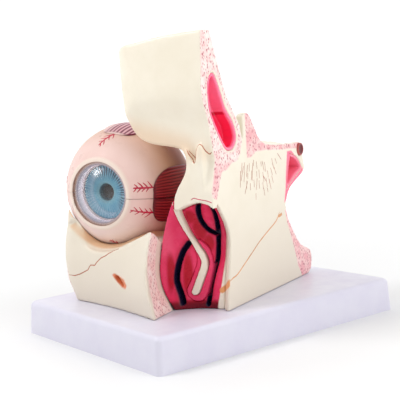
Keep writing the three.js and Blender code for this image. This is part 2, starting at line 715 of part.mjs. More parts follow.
// What is cut off above the top edge, and from the corner beside the nose, which falls to the back.
function aboveRim() {
  const above = outline(infraorbitalRim, [[126, 76], [140, 76]], [[140, 76], [140, beyond]],
    [[140, beyond], [20, beyond]], [[20, beyond], [20, 76.4]], [[20, 76.4], [30, 76.4]]);
  const corner = outline([[-36, 77], [-26, 74.6], [-16, 70], [-8, 65.8], [4, 64.4], [40, 64]],
    [[40, 64], [40, beyond]], [[40, beyond], [-36, beyond]], [[-36, beyond], [-36, 77]]);
  return frontSlab(above, -60, 90).add(sideSlab(corner, 0, cornerReach));
}

function makeMaxilla() {
  let body = loft(maxillaRings.map(([height, points]) => {
    const knots = points.map(([lateral, back]) => new THREE.Vector3(-lateral, back, height));
    return new THREE.CatmullRomCurve3(knots).getPoints((knots.length - 1) * 2);
  }));
  body = body.subtract(aboveRim());
  body = body.subtract(liftPath(eyeRadius + flatPadThickness + 2 * gap));
  body = body.subtract(orbitApexCut());
  body = body.subtract(foramen());
  body = body.subtract(nasalKeepOut());
  return withoutScrews(largest(body));
}

// The block's top falls away behind the orbital floor.
function orbitApexCut() {
  const fall = outline([[30, 66], [44, 60], [56, 56], [68, 55]], [[68, 55], [90, 55]],
    [[90, 55], [90, beyond]], [[90, beyond], [30, beyond]], [[30, beyond], [30, 66]]);
  return sideSlab(fall, 0, beyond);
}

// The almond opening below the orbit, narrower inside than at the face of the bone.
function foramen() {
  const [halfLength, halfHeight, depth] = [7, 2.4, 10];
  const hole = new THREE.CylinderGeometry(0.7, 1, depth, boreFacets).scale(halfLength, 1, halfHeight);
  const slant = THREE.MathUtils.degToRad(30);
  const faceTurn = THREE.MathUtils.degToRad(-22);
  return solid(hole.rotateY(slant).rotateZ(faceTurn).translate(-67.8, -18.3, 41));
}

// Room for the block beside the septum and for the nasal lining.
function nasalKeepOut() {
  const edge = mucosaEdge.map(([lateral, up]) => [lateral + gap, up]);
  const low = [edge[0][0], 20];
  const top = edge[edge.length - 1];
  const keep = outline([[0, 20], low], [low, ...edge.slice(1)], [top, [26, 120]],
    [[26, 120], [0, 120]], [[0, 120], [0, 20]]);
  return frontSlab(keep, noseWallBack - gap, beyond);
}

// Eyeball
const seamCut = (shift, above) => {
  const size = 4 * eyeRadius;
  const side = above ? 1 : -1;
  const block = new THREE.BoxGeometry(size, size, size).translate(0, 0, (side * size) / 2 + shift);
  return solid(block.rotateY(seamTilt).translate(0, 0, -seamDrop));
};
const upperHalf = (body) => body.intersect(seamCut(gap / 2, true));
const lowerHalf = (body) => body.intersect(seamCut(-gap / 2, false));

const scleraInside = eyeRadius - scleraWall;
const choroidOutside = scleraInside - shellGap;
const choroidInside = choroidOutside - choroidWall;
const vitreousRadius = choroidInside - shellGap;
const rimRadius = corneaSeatRadius + rimWidth;
const rimFront = halfChord(eyeRadius, rimRadius) + rimProud;
const corneaSeat = rimFront - corneaFlange - gap;
const openingRadius = corneaSeatRadius - corneaShoulder;
const irisForward = rimFront - irisDepth;
const irisSeat = irisForward - irisThickness / 2 - gap;
const choroidFront = irisForward + irisThickness / 2 + gap;
const choroidOpening = irisRadius - irisLedge;

// Turns a body made about the eye's straight axis to where the eye looks.
const aimed = (body) => body.rotate([gazeDown, 0, gazeInward]);

// The sclera's ball, with the cornea's rim and seat, and a sleeve that reaches back to the iris.
function scleraShell() {
  const outerStart = Math.asin(rimRadius / eyeRadius);
  const sleeveRadius = openingRadius + sleeveWall;
  const sleeveBack = choroidFront + 2 * gap;
  const innerStart = Math.asin(sleeveRadius / scleraInside);
  const shell = turned([
    [openingRadius, sleeveBack], [openingRadius, corneaSeat], [corneaSeatRadius, corneaSeat],
    [corneaSeatRadius, rimFront], [rimRadius, rimFront], [rimRadius + 0.8, rimFront - rimProud],
    ...eyeArc(eyeRadius, outerStart + 0.05, Math.PI, 13),
    ...eyeArc(scleraInside, Math.PI, innerStart, 11), [sleeveRadius, sleeveBack],
  ]);
  const boreRadius = nerveRadius + gap;
  const bore = new THREE.CylinderGeometry(boreRadius, boreRadius, 4 * scleraWall, boreFacets);
  return aimed(shell).subtract(solid(bore.translate(0, eyeRadius - scleraWall / 2, 0)));
}

// Pegs on the lower half that find holes in the upper half.
const pegAngles = [35, 145, 215, 325];

function pegs(radius, height) {
  const middle = eyeRadius - scleraWall / 2;
  const placed = pegAngles.map((degrees) => {
    const angle = THREE.MathUtils.degToRad(degrees);
    const x = middle * Math.cos(angle);
    const y = middle * Math.sin(angle);
    const seam = -seamDrop - x * Math.tan(seamTilt);
    return upright(radius, seam - 2, seam + height, x, y, 10);
  });
  return placed.reduce((all, next) => all.add(next));
}

function makeChoroid() {
  const wallBack = choroidFront - choroidFrontWall;
  const innerTurn = Math.atan2(halfChord(choroidInside, wallBack), wallBack);
  const outerTurn = Math.atan2(halfChord(choroidOutside, choroidFront), choroidFront);
  return aimed(turned([
    [choroidOpening, wallBack], [choroidOpening, irisSeat], [irisRadius + gap, irisSeat],
    [irisRadius + gap, choroidFront], ...eyeArc(choroidOutside, outerTurn, Math.PI, 11),
    ...eyeArc(choroidInside, Math.PI, innerTurn, 10),
  ]));
}

const lensMiddle = irisForward - irisThickness / 2 - lensFrontBulge - lensEdge - gap - 0.4;

// The lens: a biconvex disc with a flat edge.
function lensProfile(clearance) {
  const steps = 5;
  const radius = lensRadius + clearance;
  const side = (bulge, forward) => Array.from({ length: steps + 1 }, (_, i) => {
    const share = i / steps;
    const rise = (bulge + clearance) * (1 - square(share));
    return [radius * share, forward + Math.sign(forward - lensMiddle) * rise];
  });
  const front = side(lensFrontBulge, lensMiddle + lensEdge);
  const back = side(lensBackBulge, lensMiddle - lensEdge);
  return [...back, ...front.reverse()];
}

function makeVitreous() {
  const flat = irisForward - irisThickness / 2 - gap - irisLedge;
  const turn = Math.atan2(halfChord(vitreousRadius, flat), flat);
  const ball = turned([[0, flat], ...eyeArc(vitreousRadius, turn, Math.PI, 12)]);
  const [radius, front] = [lensRadius + gap, flat + 4];
  const access = turned([[0, lensMiddle], [radius, lensMiddle], [radius, front], [0, front]]);
  return ball.subtract(turned(lensProfile(gap))).subtract(access);
}

function makeIris() {
  const front = irisForward + irisThickness / 2;
  const back = irisForward - irisThickness / 2;
  return turned([
    [pupilRadius, back + 0.4], [irisRadius, back], [irisRadius, front - 0.5], [irisRadius - 0.6, front],
    [pupilRadius + 5, front + irisCone * 0.6], [pupilRadius + 0.6, front + irisCone],
    [pupilRadius, front + irisCone - 0.4],
  ]);
}

function makeCornea() {
  const flangeRadius = corneaSeatRadius - gap;
  const seat = corneaSeat + gap;
  const front = seat + corneaFlange;
  const domeRadius = flangeRadius - 1.4;
  const centre = front - halfChord(corneaDomeRadius, domeRadius);
  const steps = 6;
  const arc = (radius, reach) => {
    const turn = Math.asin(reach / radius);
    return Array.from({ length: steps + 1 }, (_, i) => {
      const angle = (turn * i) / steps;
      return [radius * Math.sin(angle), centre + radius * Math.cos(angle)];
    });
  };
  const outer = arc(corneaDomeRadius, domeRadius);
  const inner = arc(corneaDomeRadius - corneaWall, domeRadius - corneaWall - 0.4);
  return turned([
    ...outer, [flangeRadius, front], [flangeRadius, seat], [domeRadius - corneaWall - 0.4, seat],
    ...inner.reverse(),
  ]);
}

// A muscle stump: a ribbed strip that follows the sclera. It starts at an angle behind the front of
// the eye, with rounded front corners, and lies about a middle line at an angle round the eye.
function musclePad({ middle, from }, { half: fullHalf, ribs, thickness }) {
  const inside = eyeRadius + gap;
  const outside = inside + thickness;
  const across = ribs * 3;
  const straight = padEnd - from - padRounding;
  const lengths = Math.ceil(straight / 9.5);
  const shares = [0.02, 0.12, 0.36, 1];
  for (let i = 1; i <= lengths; i += 1) shares.push(1 + (straight * i) / lengths / padRounding);
  const rad = THREE.MathUtils.degToRad;
  const place = (radius, polar, around) => new THREE.Vector3(
    radius * Math.sin(polar) * Math.cos(around),
    -radius * Math.cos(polar),
    radius * Math.sin(polar) * Math.sin(around),
  );
  const rings = [];
  for (const share of shares) {
    const polar = rad(from + share * padRounding);
    const corner = Math.pow(1 - Math.pow(1 - Math.min(1, share), 2.5), 0.4);
    const half = rad(fullHalf * corner);
    const ring = [];
    for (let i = 0; i <= across; i += 1) {
      const rise = padRib * (0.5 - 0.5 * Math.cos((2 * Math.PI * i * ribs) / across));
      const around = rad(middle) - half + (2 * half * i) / across;
      ring.push(place(outside - padRib + rise, polar, around));
    }
    const under = 6;
    for (let i = under; i >= 0; i -= 1) {
      ring.push(place(inside, polar, rad(middle) - half + (2 * half * i) / under));
    }
    rings.push(ring);
  }
  return loft(rings);
}

function makeOpticNerve() {
  const start = -(eyeRadius - scleraWall);
  const end = start - nerveLength - scleraWall;
  return turned([
    [0, end + 0.8], [1.2, end + 0.8], [1.2, end], [nerveRadius - 1.2, end], [nerveRadius - 0.6, end + 0.6],
    [nerveRadius - 0.4, end + 8], [nerveRadius, start - 2], [nerveRadius, start], [0, start],
  ], 24);
}

const model = new THREE.Group();
const block = new THREE.Group();
block.position.set(blockX, blockY, 0);
block.rotation.z = blockTurn;
model.add(block);
const eye = new THREE.Group();
eye.position.set(-eyeLateral, eyeBack, eyeHeight);
block.add(eye);

function piece(group, name, body, material) {
  const mesh = new THREE.Mesh(geometryOf(body), material);
  mesh.name = name;
  group.add(mesh);
}

piece(model, "base", makeBase(), lavender);
screwPlaces.forEach(([lateral, back], i) => {
  piece(model, `base_screw_${i + 1}`, makeScrew(lateral, back), steel);
});

piece(block, "maxilla", makeMaxilla(), boneCream);
piece(block, "frontal_bone", makeFrontalBone(), boneCream);
piece(block, "nasal_bone", largest(makeNasalBone(0)), boneCream);
piece(block, "septum_plate", makeSeptumPlate(), cutBone);
piece(block, "ethmoid_block", makeEthmoidBlock(), boneCream);
piece(block, "cranial_floor", makeCranialFloor(), boneCream);
piece(block, "nasal_mucosa", makeNasalMucosa(), mucosaPink);
piece(block, "inferior_concha", makeInferiorConcha(), mucosaPink);
piece(block, "concha_bone", makeConchaBone(), boneCream);
piece(block, "frontal_sinus_lining", sinusCup(frontalSinus, frontalSinusDepth), sinusPink);
piece(block, "sphenoid_sinus_lining", sinusCup(sphenoidSinus, sphenoidSinusDepth), sinusPink);
piece(block, "optic_chiasm", chiasmBody(0), chiasmBrown);

const sclera = scleraShell();
const choroid = makeChoroid();
piece(eye, "sclera_lower", lowerHalf(sclera).add(pegs(0.9, 2.4)), scleraSkin);
piece(eye, "sclera_upper", upperHalf(sclera).subtract(pegs(0.9 + gap, 2.4 + gap)), scleraSkin);
piece(eye, "choroid_lower", lowerHalf(choroid), choroidBrown);
piece(eye, "choroid_upper", upperHalf(choroid), choroidBrown);
piece(eye, "vitreous_body", aimed(makeVitreous()), clearPink);
piece(eye, "lens", aimed(turned(lensProfile(0))), clear);
piece(eye, "iris", aimed(makeIris()), irisBlue);
piece(eye, "cornea", aimed(makeCornea()), clear);
piece(eye, "optic_nerve", makeOpticNerve(), nerveYellow);

const medialPad = musclePad(medialPlace, sidePad);
const lateralPad = musclePad(lateralPlace, sidePad);
piece(eye, "medial_rectus_upper", upperHalf(medialPad), muscleRed);
piece(eye, "medial_rectus_lower", lowerHalf(medialPad), muscleRed);
piece(eye, "lateral_rectus_upper", upperHalf(lateralPad), muscleRed);
piece(eye, "lateral_rectus_lower", lowerHalf(lateralPad), muscleRed);
piece(eye, "superior_rectus", musclePad(superiorPlace, topPad), muscleRed);
piece(eye, "inferior_rectus", musclePad(inferiorPlace, topPad), muscleRed);

export default model;
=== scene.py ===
"""Eye anatomy model on its base: finishes and fine forms, built round the fixed frame."""
import math

import bmesh
import bpy
import numpy as np
from mathutils import Matrix, Vector, noise
from mathutils.bvhtree import BVHTree


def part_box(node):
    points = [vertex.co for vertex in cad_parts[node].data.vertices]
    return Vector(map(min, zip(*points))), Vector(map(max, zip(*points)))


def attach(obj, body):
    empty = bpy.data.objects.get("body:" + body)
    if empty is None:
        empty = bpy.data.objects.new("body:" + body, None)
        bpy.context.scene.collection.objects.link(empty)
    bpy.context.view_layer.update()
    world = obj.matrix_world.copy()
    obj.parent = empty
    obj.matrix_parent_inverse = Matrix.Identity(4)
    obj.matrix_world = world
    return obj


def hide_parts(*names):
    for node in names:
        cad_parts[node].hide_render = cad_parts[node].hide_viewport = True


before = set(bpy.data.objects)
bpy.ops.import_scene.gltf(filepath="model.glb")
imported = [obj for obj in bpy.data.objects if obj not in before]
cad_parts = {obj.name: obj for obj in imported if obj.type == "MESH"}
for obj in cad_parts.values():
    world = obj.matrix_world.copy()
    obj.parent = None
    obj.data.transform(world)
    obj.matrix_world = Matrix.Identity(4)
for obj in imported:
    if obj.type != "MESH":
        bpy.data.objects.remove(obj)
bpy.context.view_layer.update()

# Studio: a plain pale floor that runs out of view, a white surround that is brightest behind the
# object, a soft light up on the left, which shows in the cornea, and one on the right. The camera
# stands where the photograph's did, at the same turn, height, roll and focal length.
MM = 0.001
camera_azimuth = math.radians(51.566)
camera_height = math.radians(6.947)
camera_roll = math.radians(-3.266)
camera_distance = 595.5 * MM
camera_target = Vector((22.5, -22.3, 87.3)) * MM
camera_lens = 83.66
surround_dim_until = -0.3
surround_bright_from = 0.6


def linear(red, green, blue):
    """A colour given as it looks on screen, 0 to 255, as the renderer's linear values."""
    steps = [c / 255 for c in (red, green, blue)]
    return tuple(c / 12.92 if c <= 0.04045 else ((c + 0.055) / 1.055) ** 2.4 for c in steps) + (1.0,)


def direction(azimuth, elevation):
    flat = math.cos(elevation)
    return Vector((math.sin(azimuth) * flat, -math.cos(azimuth) * flat, math.sin(elevation)))


def link(name, data):
    made = bpy.data.objects.new(name, data)
    bpy.context.scene.collection.objects.link(made)
    return made


back = direction(camera_azimuth, camera_height)
right = Vector((math.cos(camera_azimuth), math.sin(camera_azimuth), 0))
up = back.cross(right)
side_axis = right * math.cos(camera_roll) + up * math.sin(camera_roll)
up_axis = up * math.cos(camera_roll) - right * math.sin(camera_roll)
camera = link("camera", bpy.data.cameras.new("camera"))
camera.data.lens = camera_lens
camera.data.clip_start = 0.02
camera.matrix_world = Matrix.Translation(camera_target + back * camera_distance) @ Matrix(
    (side_axis, up_axis, back)).transposed().to_4x4()
bpy.context.scene.camera = camera
bpy.context.scene.view_settings.view_transform = "Standard"


def feed(tree, socket, value):
    """Links a socket to another one, or sets it."""
    if isinstance(value, bpy.types.NodeSocket):
        tree.links.new(value, socket)
    else:
        socket.default_value = value


def wire(tree, node, inputs):
    """Sets a node's inputs, each by name or number, or links them to other nodes."""
    for key, value in dict(inputs).items():
        feed(tree, node.inputs[key], value)
    return node


def put(tree, kind, inputs=(), **settings):
    """A node with its settings and its inputs."""
    node = tree.nodes.new(kind)
    for key, value in settings.items():
        setattr(node, key, value)
    return wire(tree, node, inputs)


def ramp(tree, value, low, high, bottom=0.0, top=1.0, curve="SMOOTHSTEP"):
    """The bottom value below low and the top one above high, with a rise between."""
    inputs = {"Value": value, "From Min": low, "From Max": high, "To Min": bottom, "To Max": top}
    return put(tree, "ShaderNodeMapRange", inputs, interpolation_type=curve).outputs["Result"]


def measured(tree, vector, operation, other=(0, 0, 0)):
    """A number worked out from one vector or two."""
    return put(tree, "ShaderNodeVectorMath", {0: vector, 1: other}, operation=operation).outputs["Value"]


def object_place(tree):
    """A point's place in the object's own coordinates."""
    return put(tree, "ShaderNodeTexCoord").outputs["Object"]


def new_material(name):
    material = bpy.data.materials.new(name)
    material.use_nodes = True
    return material, material.node_tree, material.node_tree.nodes["Principled BSDF"]


def soft_light(name, azimuth, elevation, distance, width, height, watts):
    light = link(name, bpy.data.lights.new(name, "AREA"))
    light.data.shape = "RECTANGLE"
    light.data.size = width
    light.data.size_y = height
    light.data.energy = watts
    towards = direction(math.radians(azimuth), math.radians(elevation))
    light.location = camera_target + towards * distance
    light.rotation_mode = "QUATERNION"
    light.rotation_quaternion = (-towards).to_track_quat("-Z", "Y")


def bright_behind(low, high):
    """A white surround that is bright behind the object and dimmer on the camera's side."""
    world = bpy.data.worlds.new("surround")
    world.use_nodes = True
    tree = world.node_tree
    way = put(tree, "ShaderNodeTexCoord").outputs["Generated"]
    behind = measured(tree, way, "DOT_PRODUCT", tuple(-back))
    strength = ramp(tree, behind, surround_dim_until, surround_bright_from, low, high)
    wire(tree, tree.nodes["Background"], {"Color": (1, 1, 1, 1), "Strength": strength})
    return world


soft_light("key", azimuth=-22, elevation=48, distance=0.8, width=0.3, height=0.25, watts=2.7)
soft_light("fill", azimuth=105, elevation=32, distance=1.1, width=0.9, height=0.8, watts=5.2)
bpy.context.scene.world = bright_behind(low=0.5, high=1.1)

# The floor glows more and more away from the object, so that it meets the white surround.
floor_half = 3
floor_tone = 0.86
glow_start = 0.12
glow_end = 0.8
glow_most = 0.4
floor_corners = [(x * floor_half, y * floor_half, 0) for x, y in ((-1, -1), (1, -1), (1, 1), (-1, 1))]
floor_mesh = bpy.data.meshes.new("floor")
floor_mesh.from_pydata(floor_corners, [], [(0, 1, 2, 3)])
floor = link("floor", floor_mesh)
floor_paint, tree, shader = new_material("floor_paint")
away = measured(tree, object_place(tree), "LENGTH")
glow = ramp(tree, away, glow_start, glow_end, top=glow_most, curve="LINEAR")
wire(tree, shader, {"Base Color": (floor_tone, floor_tone, floor_tone, 1), "Roughness": 0.7,
                    "Emission Color": glow, "Emission Strength": 1.0})
floor.data.materials.append(floor_paint)

# Base: an injection moulded plinth in pale lavender white styrene, open underneath, with a drafted
# wall, a rolled top edge, two stiffening ribs and four screw bosses. It stands on its bottom rim.
base_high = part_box("base")[1]
base_draft = 0.058
base_corner = 3.8 * MM
base_edge = 3.2 * MM
base_wall = 3.2 * MM
rib_width = 2.4 * MM
boss_radius = 5 * MM
boss_bottom = 9 * MM
rib_foot = 2 * MM
screw_hole = 2.1 * MM
screw_names = [f"base_screw_{i}" for i in range(1, 5)]


def shaded(mesh, angle):
    """Smooth shading, except over edges that are sharper than an angle in degrees."""
    mesh.polygons.foreach_set("use_smooth", [True] * len(mesh.polygons))
    mesh.set_sharp_from_angle(angle=math.radians(angle))


def mesh_object(name, work, smooth_angle=35):
    """A finished mesh from a bmesh: doubles merged, normals outward, smooth up to an angle."""
    bmesh.ops.remove_doubles(work, verts=work.verts, dist=1e-7)
    bmesh.ops.recalc_face_normals(work, faces=work.faces)
    mesh = bpy.data.meshes.new(name)
    work.to_mesh(mesh)
    work.free()
    shaded(mesh, smooth_angle)
    return link(name, mesh)


def skin(work, rings):
    """Faces over rings of equally many points, with a cap at both ends."""
    levels = [[work.verts.new(point) for point in ring] for ring in rings]
    count = len(levels[0])
    for low, high in zip(levels, levels[1:]):
        for i in range(count):
            j = (i + 1) % count
            work.faces.new((low[i], low[j], high[j], high[i]))
    work.faces.new(levels[0][::-1])
    work.faces.new(levels[-1])


def plain_solid(name, rings, smooth_angle=35):
    work = bmesh.new()
    skin(work, rings)
    return mesh_object(name, work, smooth_angle)


def settled(drawn):
    """The mesh that an object's modifiers leave."""
    return bpy.data.meshes.new_from_object(drawn.evaluated_get(bpy.context.evaluated_depsgraph_get()))


def bolt(body, rings, operation):
    """Joins the solid over some rings to an object, or cuts it out."""
    tool = plain_solid("tool", rings)
    cut = body.modifiers.new("cut", "BOOLEAN")
    cut.object = tool
    cut.operation = operation
    cut.solver = "EXACT"
    mesh = settled(body)
    body.modifiers.clear()
    body.data = mesh
    bpy.data.objects.remove(tool)


def plinth_rings(inset, bottom, top, edge, steps=9):
    half = [base_high[0] - base_corner, base_high[1] - base_corner]
    levels = [(bottom, 0.0)]
    levels += [(top - edge * (1 - math.sin(a)), edge * (1 - math.cos(a)))
               for a in np.linspace(0, math.pi / 2, steps)]
    rings = []
    for height, roll in levels:
        narrow = inset + base_draft * height + roll
        ring = []
        for corner, (sx, sy) in enumerate([(1, 1), (-1, 1), (-1, -1), (1, -1)]):
            for a in np.linspace(0, math.pi / 2, steps):
                turn = corner * math.pi / 2 + a
                ring.append((sx * (half[0] - narrow) + base_corner * math.cos(turn),
                             sy * (half[1] - narrow) + base_corner * math.sin(turn), height))
        rings.append(ring)
    return rings


def circle(count):
    """The angles of evenly spaced points round a circle."""
    return [2 * math.pi * i / count for i in range(count)]


def turned_rings(x, y, profile, facets=32):
    """Rings about an upright line, by (radius, height)."""
    return [[(x + r * math.cos(a), y + r * math.sin(a), z) for a in circle(facets)] for r, z in profile]


def bar_rings(width, length, bottom, top):
    corners = [(-1, -1), (1, -1), (1, 1), (-1, 1)]
    return [[(sx * width / 2, sy * length / 2, z) for sx, sy in corners] for z in (bottom, top)]


def math_node(tree, operation, first, second=0.0, third=0.0):
    return put(tree, "ShaderNodeMath", {0: first, 1: second, 2: third}, operation=operation).outputs[0]


def blended(tree, mask, below, above):
    node = put(tree, "ShaderNodeMix", {"Factor": mask}, data_type="RGBA")
    feed(tree, node.inputs[6], below)
    feed(tree, node.inputs[7], above)
    return node.outputs[2]


def noise_at(tree, vector, scale, detail=3.0, roughness=0.5):
    inputs = {"Vector": vector, "Scale": scale, "Detail": detail, "Roughness": roughness}
    return put(tree, "ShaderNodeTexNoise", inputs).outputs["Fac"]


def shader_group(name, inputs, outputs):
    """An empty shader node group with named number inputs and outputs, and its two end nodes."""
    tree = bpy.data.node_groups.new(name, "ShaderNodeTree")
    for label, value in inputs.items():
        socket = tree.interface.new_socket(label, in_out="INPUT", socket_type="NodeSocketFloat")
        socket.default_value = value
    for label in outputs:
        tree.interface.new_socket(label, in_out="OUTPUT", socket_type="NodeSocketFloat")
    return tree, tree.nodes.new("NodeGroupInput"), tree.nodes.new("NodeGroupOutput")


def moulded_skin_group():
    """Surface of painted moulded plastic: fine pebble, slow waves, gloss patches and mottled tone."""
    inputs = {"Pebble Scale": 900.0, "Wave Scale": 45.0, "Patch Scale": 130.0, "Pebble": 0.5}
    tree, ends, out = shader_group("moulded_skin", inputs, ["Height", "Gloss Patch", "Mottle"])
    place = object_place(tree)
    pebble = noise_at(tree, place, ends.outputs["Pebble Scale"], 2.0)
    wave = noise_at(tree, place, ends.outputs["Wave Scale"], 2.0)
    small = math_node(tree, "MULTIPLY", pebble, ends.outputs["Pebble"])
    patches = noise_at(tree, place, ends.outputs["Patch Scale"], 4.0, 0.6)
    mottle = noise_at(tree, place, ends.outputs["Wave Scale"], 5.0, 0.6)
    wire(tree, out, {"Height": math_node(tree, "ADD", small, wave),
                     "Gloss Patch": ramp(tree, patches, 0.35, 0.7),
                     "Mottle": ramp(tree, mottle, 0.3, 0.72)})
    return tree


moulded_skin = moulded_skin_group()
skin_depth = 0.4 * MM


def group_node(tree, group, inputs=()):
    return put(tree, "ShaderNodeGroup", inputs, node_tree=group)


def surface(tree, shader, roughness=0.4, spread=0.12, bump=0.15, pebble=0.5):
    """Gives a shader the gloss and the bump of a moulded skin, and hands back the skin's mottle."""
    cast = group_node(tree, moulded_skin, {"Pebble": pebble})
    relief = {"Strength": bump, "Distance": skin_depth, "Height": cast.outputs["Height"]}
    gloss = math_node(tree, "MULTIPLY_ADD", cast.outputs["Gloss Patch"], spread, roughness - spread / 2)
    wire(tree, shader, {"Roughness": gloss, "Normal": put(tree, "ShaderNodeBump", relief).outputs["Normal"]})
    return cast.outputs["Mottle"]


def painted_mask(tree, name):
    """The socket of a mask that is stored on a piece's points."""
    return put(tree, "ShaderNodeAttribute", attribute_name=name).outputs["Fac"]


def layered(tree, colour, layers):
    """Paints stored masks over a colour, each in its own tone over the one before."""
    for mask, tone in dict(layers).items():
        colour = blended(tree, painted_mask(tree, mask), colour, linear(*tone))
    return colour


def painted(name, tone, patch, layers=(), specular=0.5, **skin_settings):
    """Moulded plastic in two near tones, with painted layers over them."""
    material, tree, shader = new_material(name)
    ground = blended(tree, surface(tree, shader, **skin_settings), linear(*tone), linear(*patch))
    wire(tree, shader, {"Base Color": layered(tree, ground, layers), "Specular IOR Level": specular})
    return material


def dress(piece, body, slot, *nodes, paint=None):
    """Paints a finished piece, seats it on its body and hides the solids it stands for. The slot is not used.
    """
    if paint:
        piece.data.materials.append(paint)
    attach(piece, body)
    if nodes:
        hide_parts(*nodes)


ceiling = base_high[2] - base_wall
rib_top = ceiling + base_wall / 2
base = plain_solid("base_plinth", plinth_rings(0, 0, base_high[2], base_edge))
bolt(base, plinth_rings(base_wall, -MM, ceiling, base_edge / 2), "DIFFERENCE")
bolt(base, bar_rings(rib_width, 2 * base_high[1] - 2 * base_wall, rib_foot, rib_top), "UNION")
bolt(base, bar_rings(2 * base_high[0] - 2 * base_wall, rib_width, rib_foot, rib_top), "UNION")
for screw in screw_names:
    low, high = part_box(screw)
    x, y = (low[0] + high[0]) / 2, (low[1] + high[1]) / 2
    bolt(base, turned_rings(x, y, [(boss_radius, boss_bottom), (boss_radius, rib_top)]), "UNION")
    bolt(base, turned_rings(x, y, [(screw_hole, 0), (screw_hole, base_high[2] + MM)]), "DIFFERENCE")
shaded(base.data, 30)
styrene = painted("lavender_styrene", (224, 222, 235), (219, 216, 232),
                  roughness=0.36, spread=0.14, bump=0.05)
dress(base, "face_block", "base_plastic", "base", paint=styrene)

# Base screws: four pan head self-tapping screws in plain zinc plated steel. Each goes up through a
# boss and the base's top into the block. The head has a cross recess, and the shank a thread.
thread_pitch = 1.5 * MM
thread_depth = 0.35 * MM
shank_radius = 1.8 * MM
head_height = 2.4 * MM
head_crown = 1.7 * MM
recess_width = 1.1 * MM
recess_length = 3.6 * MM
recess_depth = 1.3 * MM


def build_screw(name):
    low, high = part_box(name)
    x, y = (low[0] + high[0]) / 2, (low[1] + high[1]) / 2
    head = (high[0] - low[0]) / 2
    head_top = low[2] + head_height
    profile = [(head * math.sin(a), low[2] + head_crown * (1 - math.cos(a)))
               for a in np.linspace(0.15, math.pi / 2, 7)]
    profile += [(head, head_top), (shank_radius, head_top)]
    turns = int((high[2] - head_top) / thread_pitch)
    for turn in range(turns):
        start = head_top + (turn + 0.5) * thread_pitch
        profile += [(shank_radius - thread_depth, start), (shank_radius, start + thread_pitch / 2)]
    profile += [(shank_radius - thread_depth, high[2] - 0.6 * MM), (0.5 * MM, high[2])]
    screw = plain_solid(name + "_steel", turned_rings(x, y, profile))
    for across, along in ((recess_width, recess_length), (recess_length, recess_width)):
        rings = bar_rings(across, along, low[2] - MM, low[2] + recess_depth)
        bolt(screw, [[(px + x, py + y, pz) for px, py, pz in ring] for ring in rings], "DIFFERENCE")
    return screw


zinc, tree, shader = new_material("zinc_plate")
surface(tree, shader, roughness=0.3, spread=0.2, bump=0.1)
wire(tree, shader, {"Base Color": linear(176, 180, 186), "Metallic": 0.95})
for name in screw_names:
    dress(build_screw(name), "face_block", "screw", name, paint=zinc)

# Face block, bones: cast in cream resin. The brow, the bridge of the nose, the plate along the
# middle, the block behind the nose and the floor of the skull are glued and filled, so that their
# joints do not show. The cut faces are stippled by hand in pink and dark red.
face_foot = Vector((59.4, -34.0, 0)) * MM
face_turn = math.radians(20.42)
medial = Vector((math.cos(face_turn), math.sin(face_turn), 0))
forward = Vector((math.sin(face_turn), -math.cos(face_turn), 0))
upward = Vector((0, 0, 1))
gap = 0.3 * MM
bone_voxel = 0.72 * MM
joint_fill = 0.2 * MM
block_foot = base_high[2] / MM


def face_point(lateral, back_by, height):
    """A point of the block, from millimetres lateral, back and up, in the frame's metres."""
    return face_foot + (-medial * lateral - forward * back_by + upward * height) * MM


eye_centre = face_point(86, 25.3, 95.6)


def triples(items, field):
    """One vector of each of a mesh's points, as rows of an array."""
    values = np.empty(len(items) * 3)
    items.foreach_get(field, values)
    return values.reshape(-1, 3)


def positions(piece):
    return triples(piece.data.vertices, "co")


def normals(piece):
    return triples(piece.data.vertex_normals, "vector")


def face_axes(points):
    """Lateral, back and up distances in millimetres of an array of points."""
    away = points - np.array(face_foot)
    return -away @ np.array(medial) / MM, -away @ np.array(forward) / MM, points[:, 2] / MM


def eye_axes(points):
    """Angle from the front in degrees, angle round the eye's axis and distance from its middle."""
    away = points - np.array(eye_centre)
    ahead, across, height = away @ np.array(forward), away @ np.array(medial), away[:, 2]
    distance = np.linalg.norm(away, axis=1)
    polar = np.degrees(np.arccos(np.clip(ahead / np.maximum(distance, 1e-9), -1, 1)))
    return polar, np.degrees(np.arctan2(height, across)), distance


def mark(piece, name, values):
    """Stores a painted mask on a piece's points, from 0 to 1."""
    layer = piece.data.attributes.new(name, "FLOAT", "POINT")
    values = np.clip(np.broadcast_to(values, len(layer.data)), 0, 1)
    layer.data.foreach_set("value", values.astype(np.float32))


def rise(values, low, high):
    """0 below low, 1 above high, with a smooth rise between, for arrays."""
    share = np.clip((values - low) / (high - low), 0, 1)
    return share * share * (3 - 2 * share)


def neighbour_mean(points, edges):
    count = len(points)
    links = np.bincount(edges.ravel(), minlength=count)
    sums = [np.bincount(edges[:, 0], points[edges[:, 1], axis], count)
            + np.bincount(edges[:, 1], points[edges[:, 0], axis], count) for axis in range(3)]
    return np.stack(sums, axis=1) / np.maximum(links, 1)[:, None]


def move_points(piece, points):
    piece.data.vertices.foreach_set("co", points.ravel())
    piece.data.update()


def eased(piece, *passes):
    """Smooths a piece by passes of (rounds, share of the way to its neighbours' mean)."""
    edges = np.empty(len(piece.data.edges) * 2, dtype=np.int64)
    piece.data.edges.foreach_get("vertices", edges)
    edges = edges.reshape(-1, 2)
    points = positions(piece)
    for rounds, share in passes:
        for _ in range(rounds):
            points += np.reshape(share, (-1, 1)) * (neighbour_mean(points, edges) - points)
    move_points(piece, points)


def swollen(piece, amount):
    """Moves a skin outward, so that it meets the piece round it."""
    move_points(piece, positions(piece) + normals(piece) * amount)


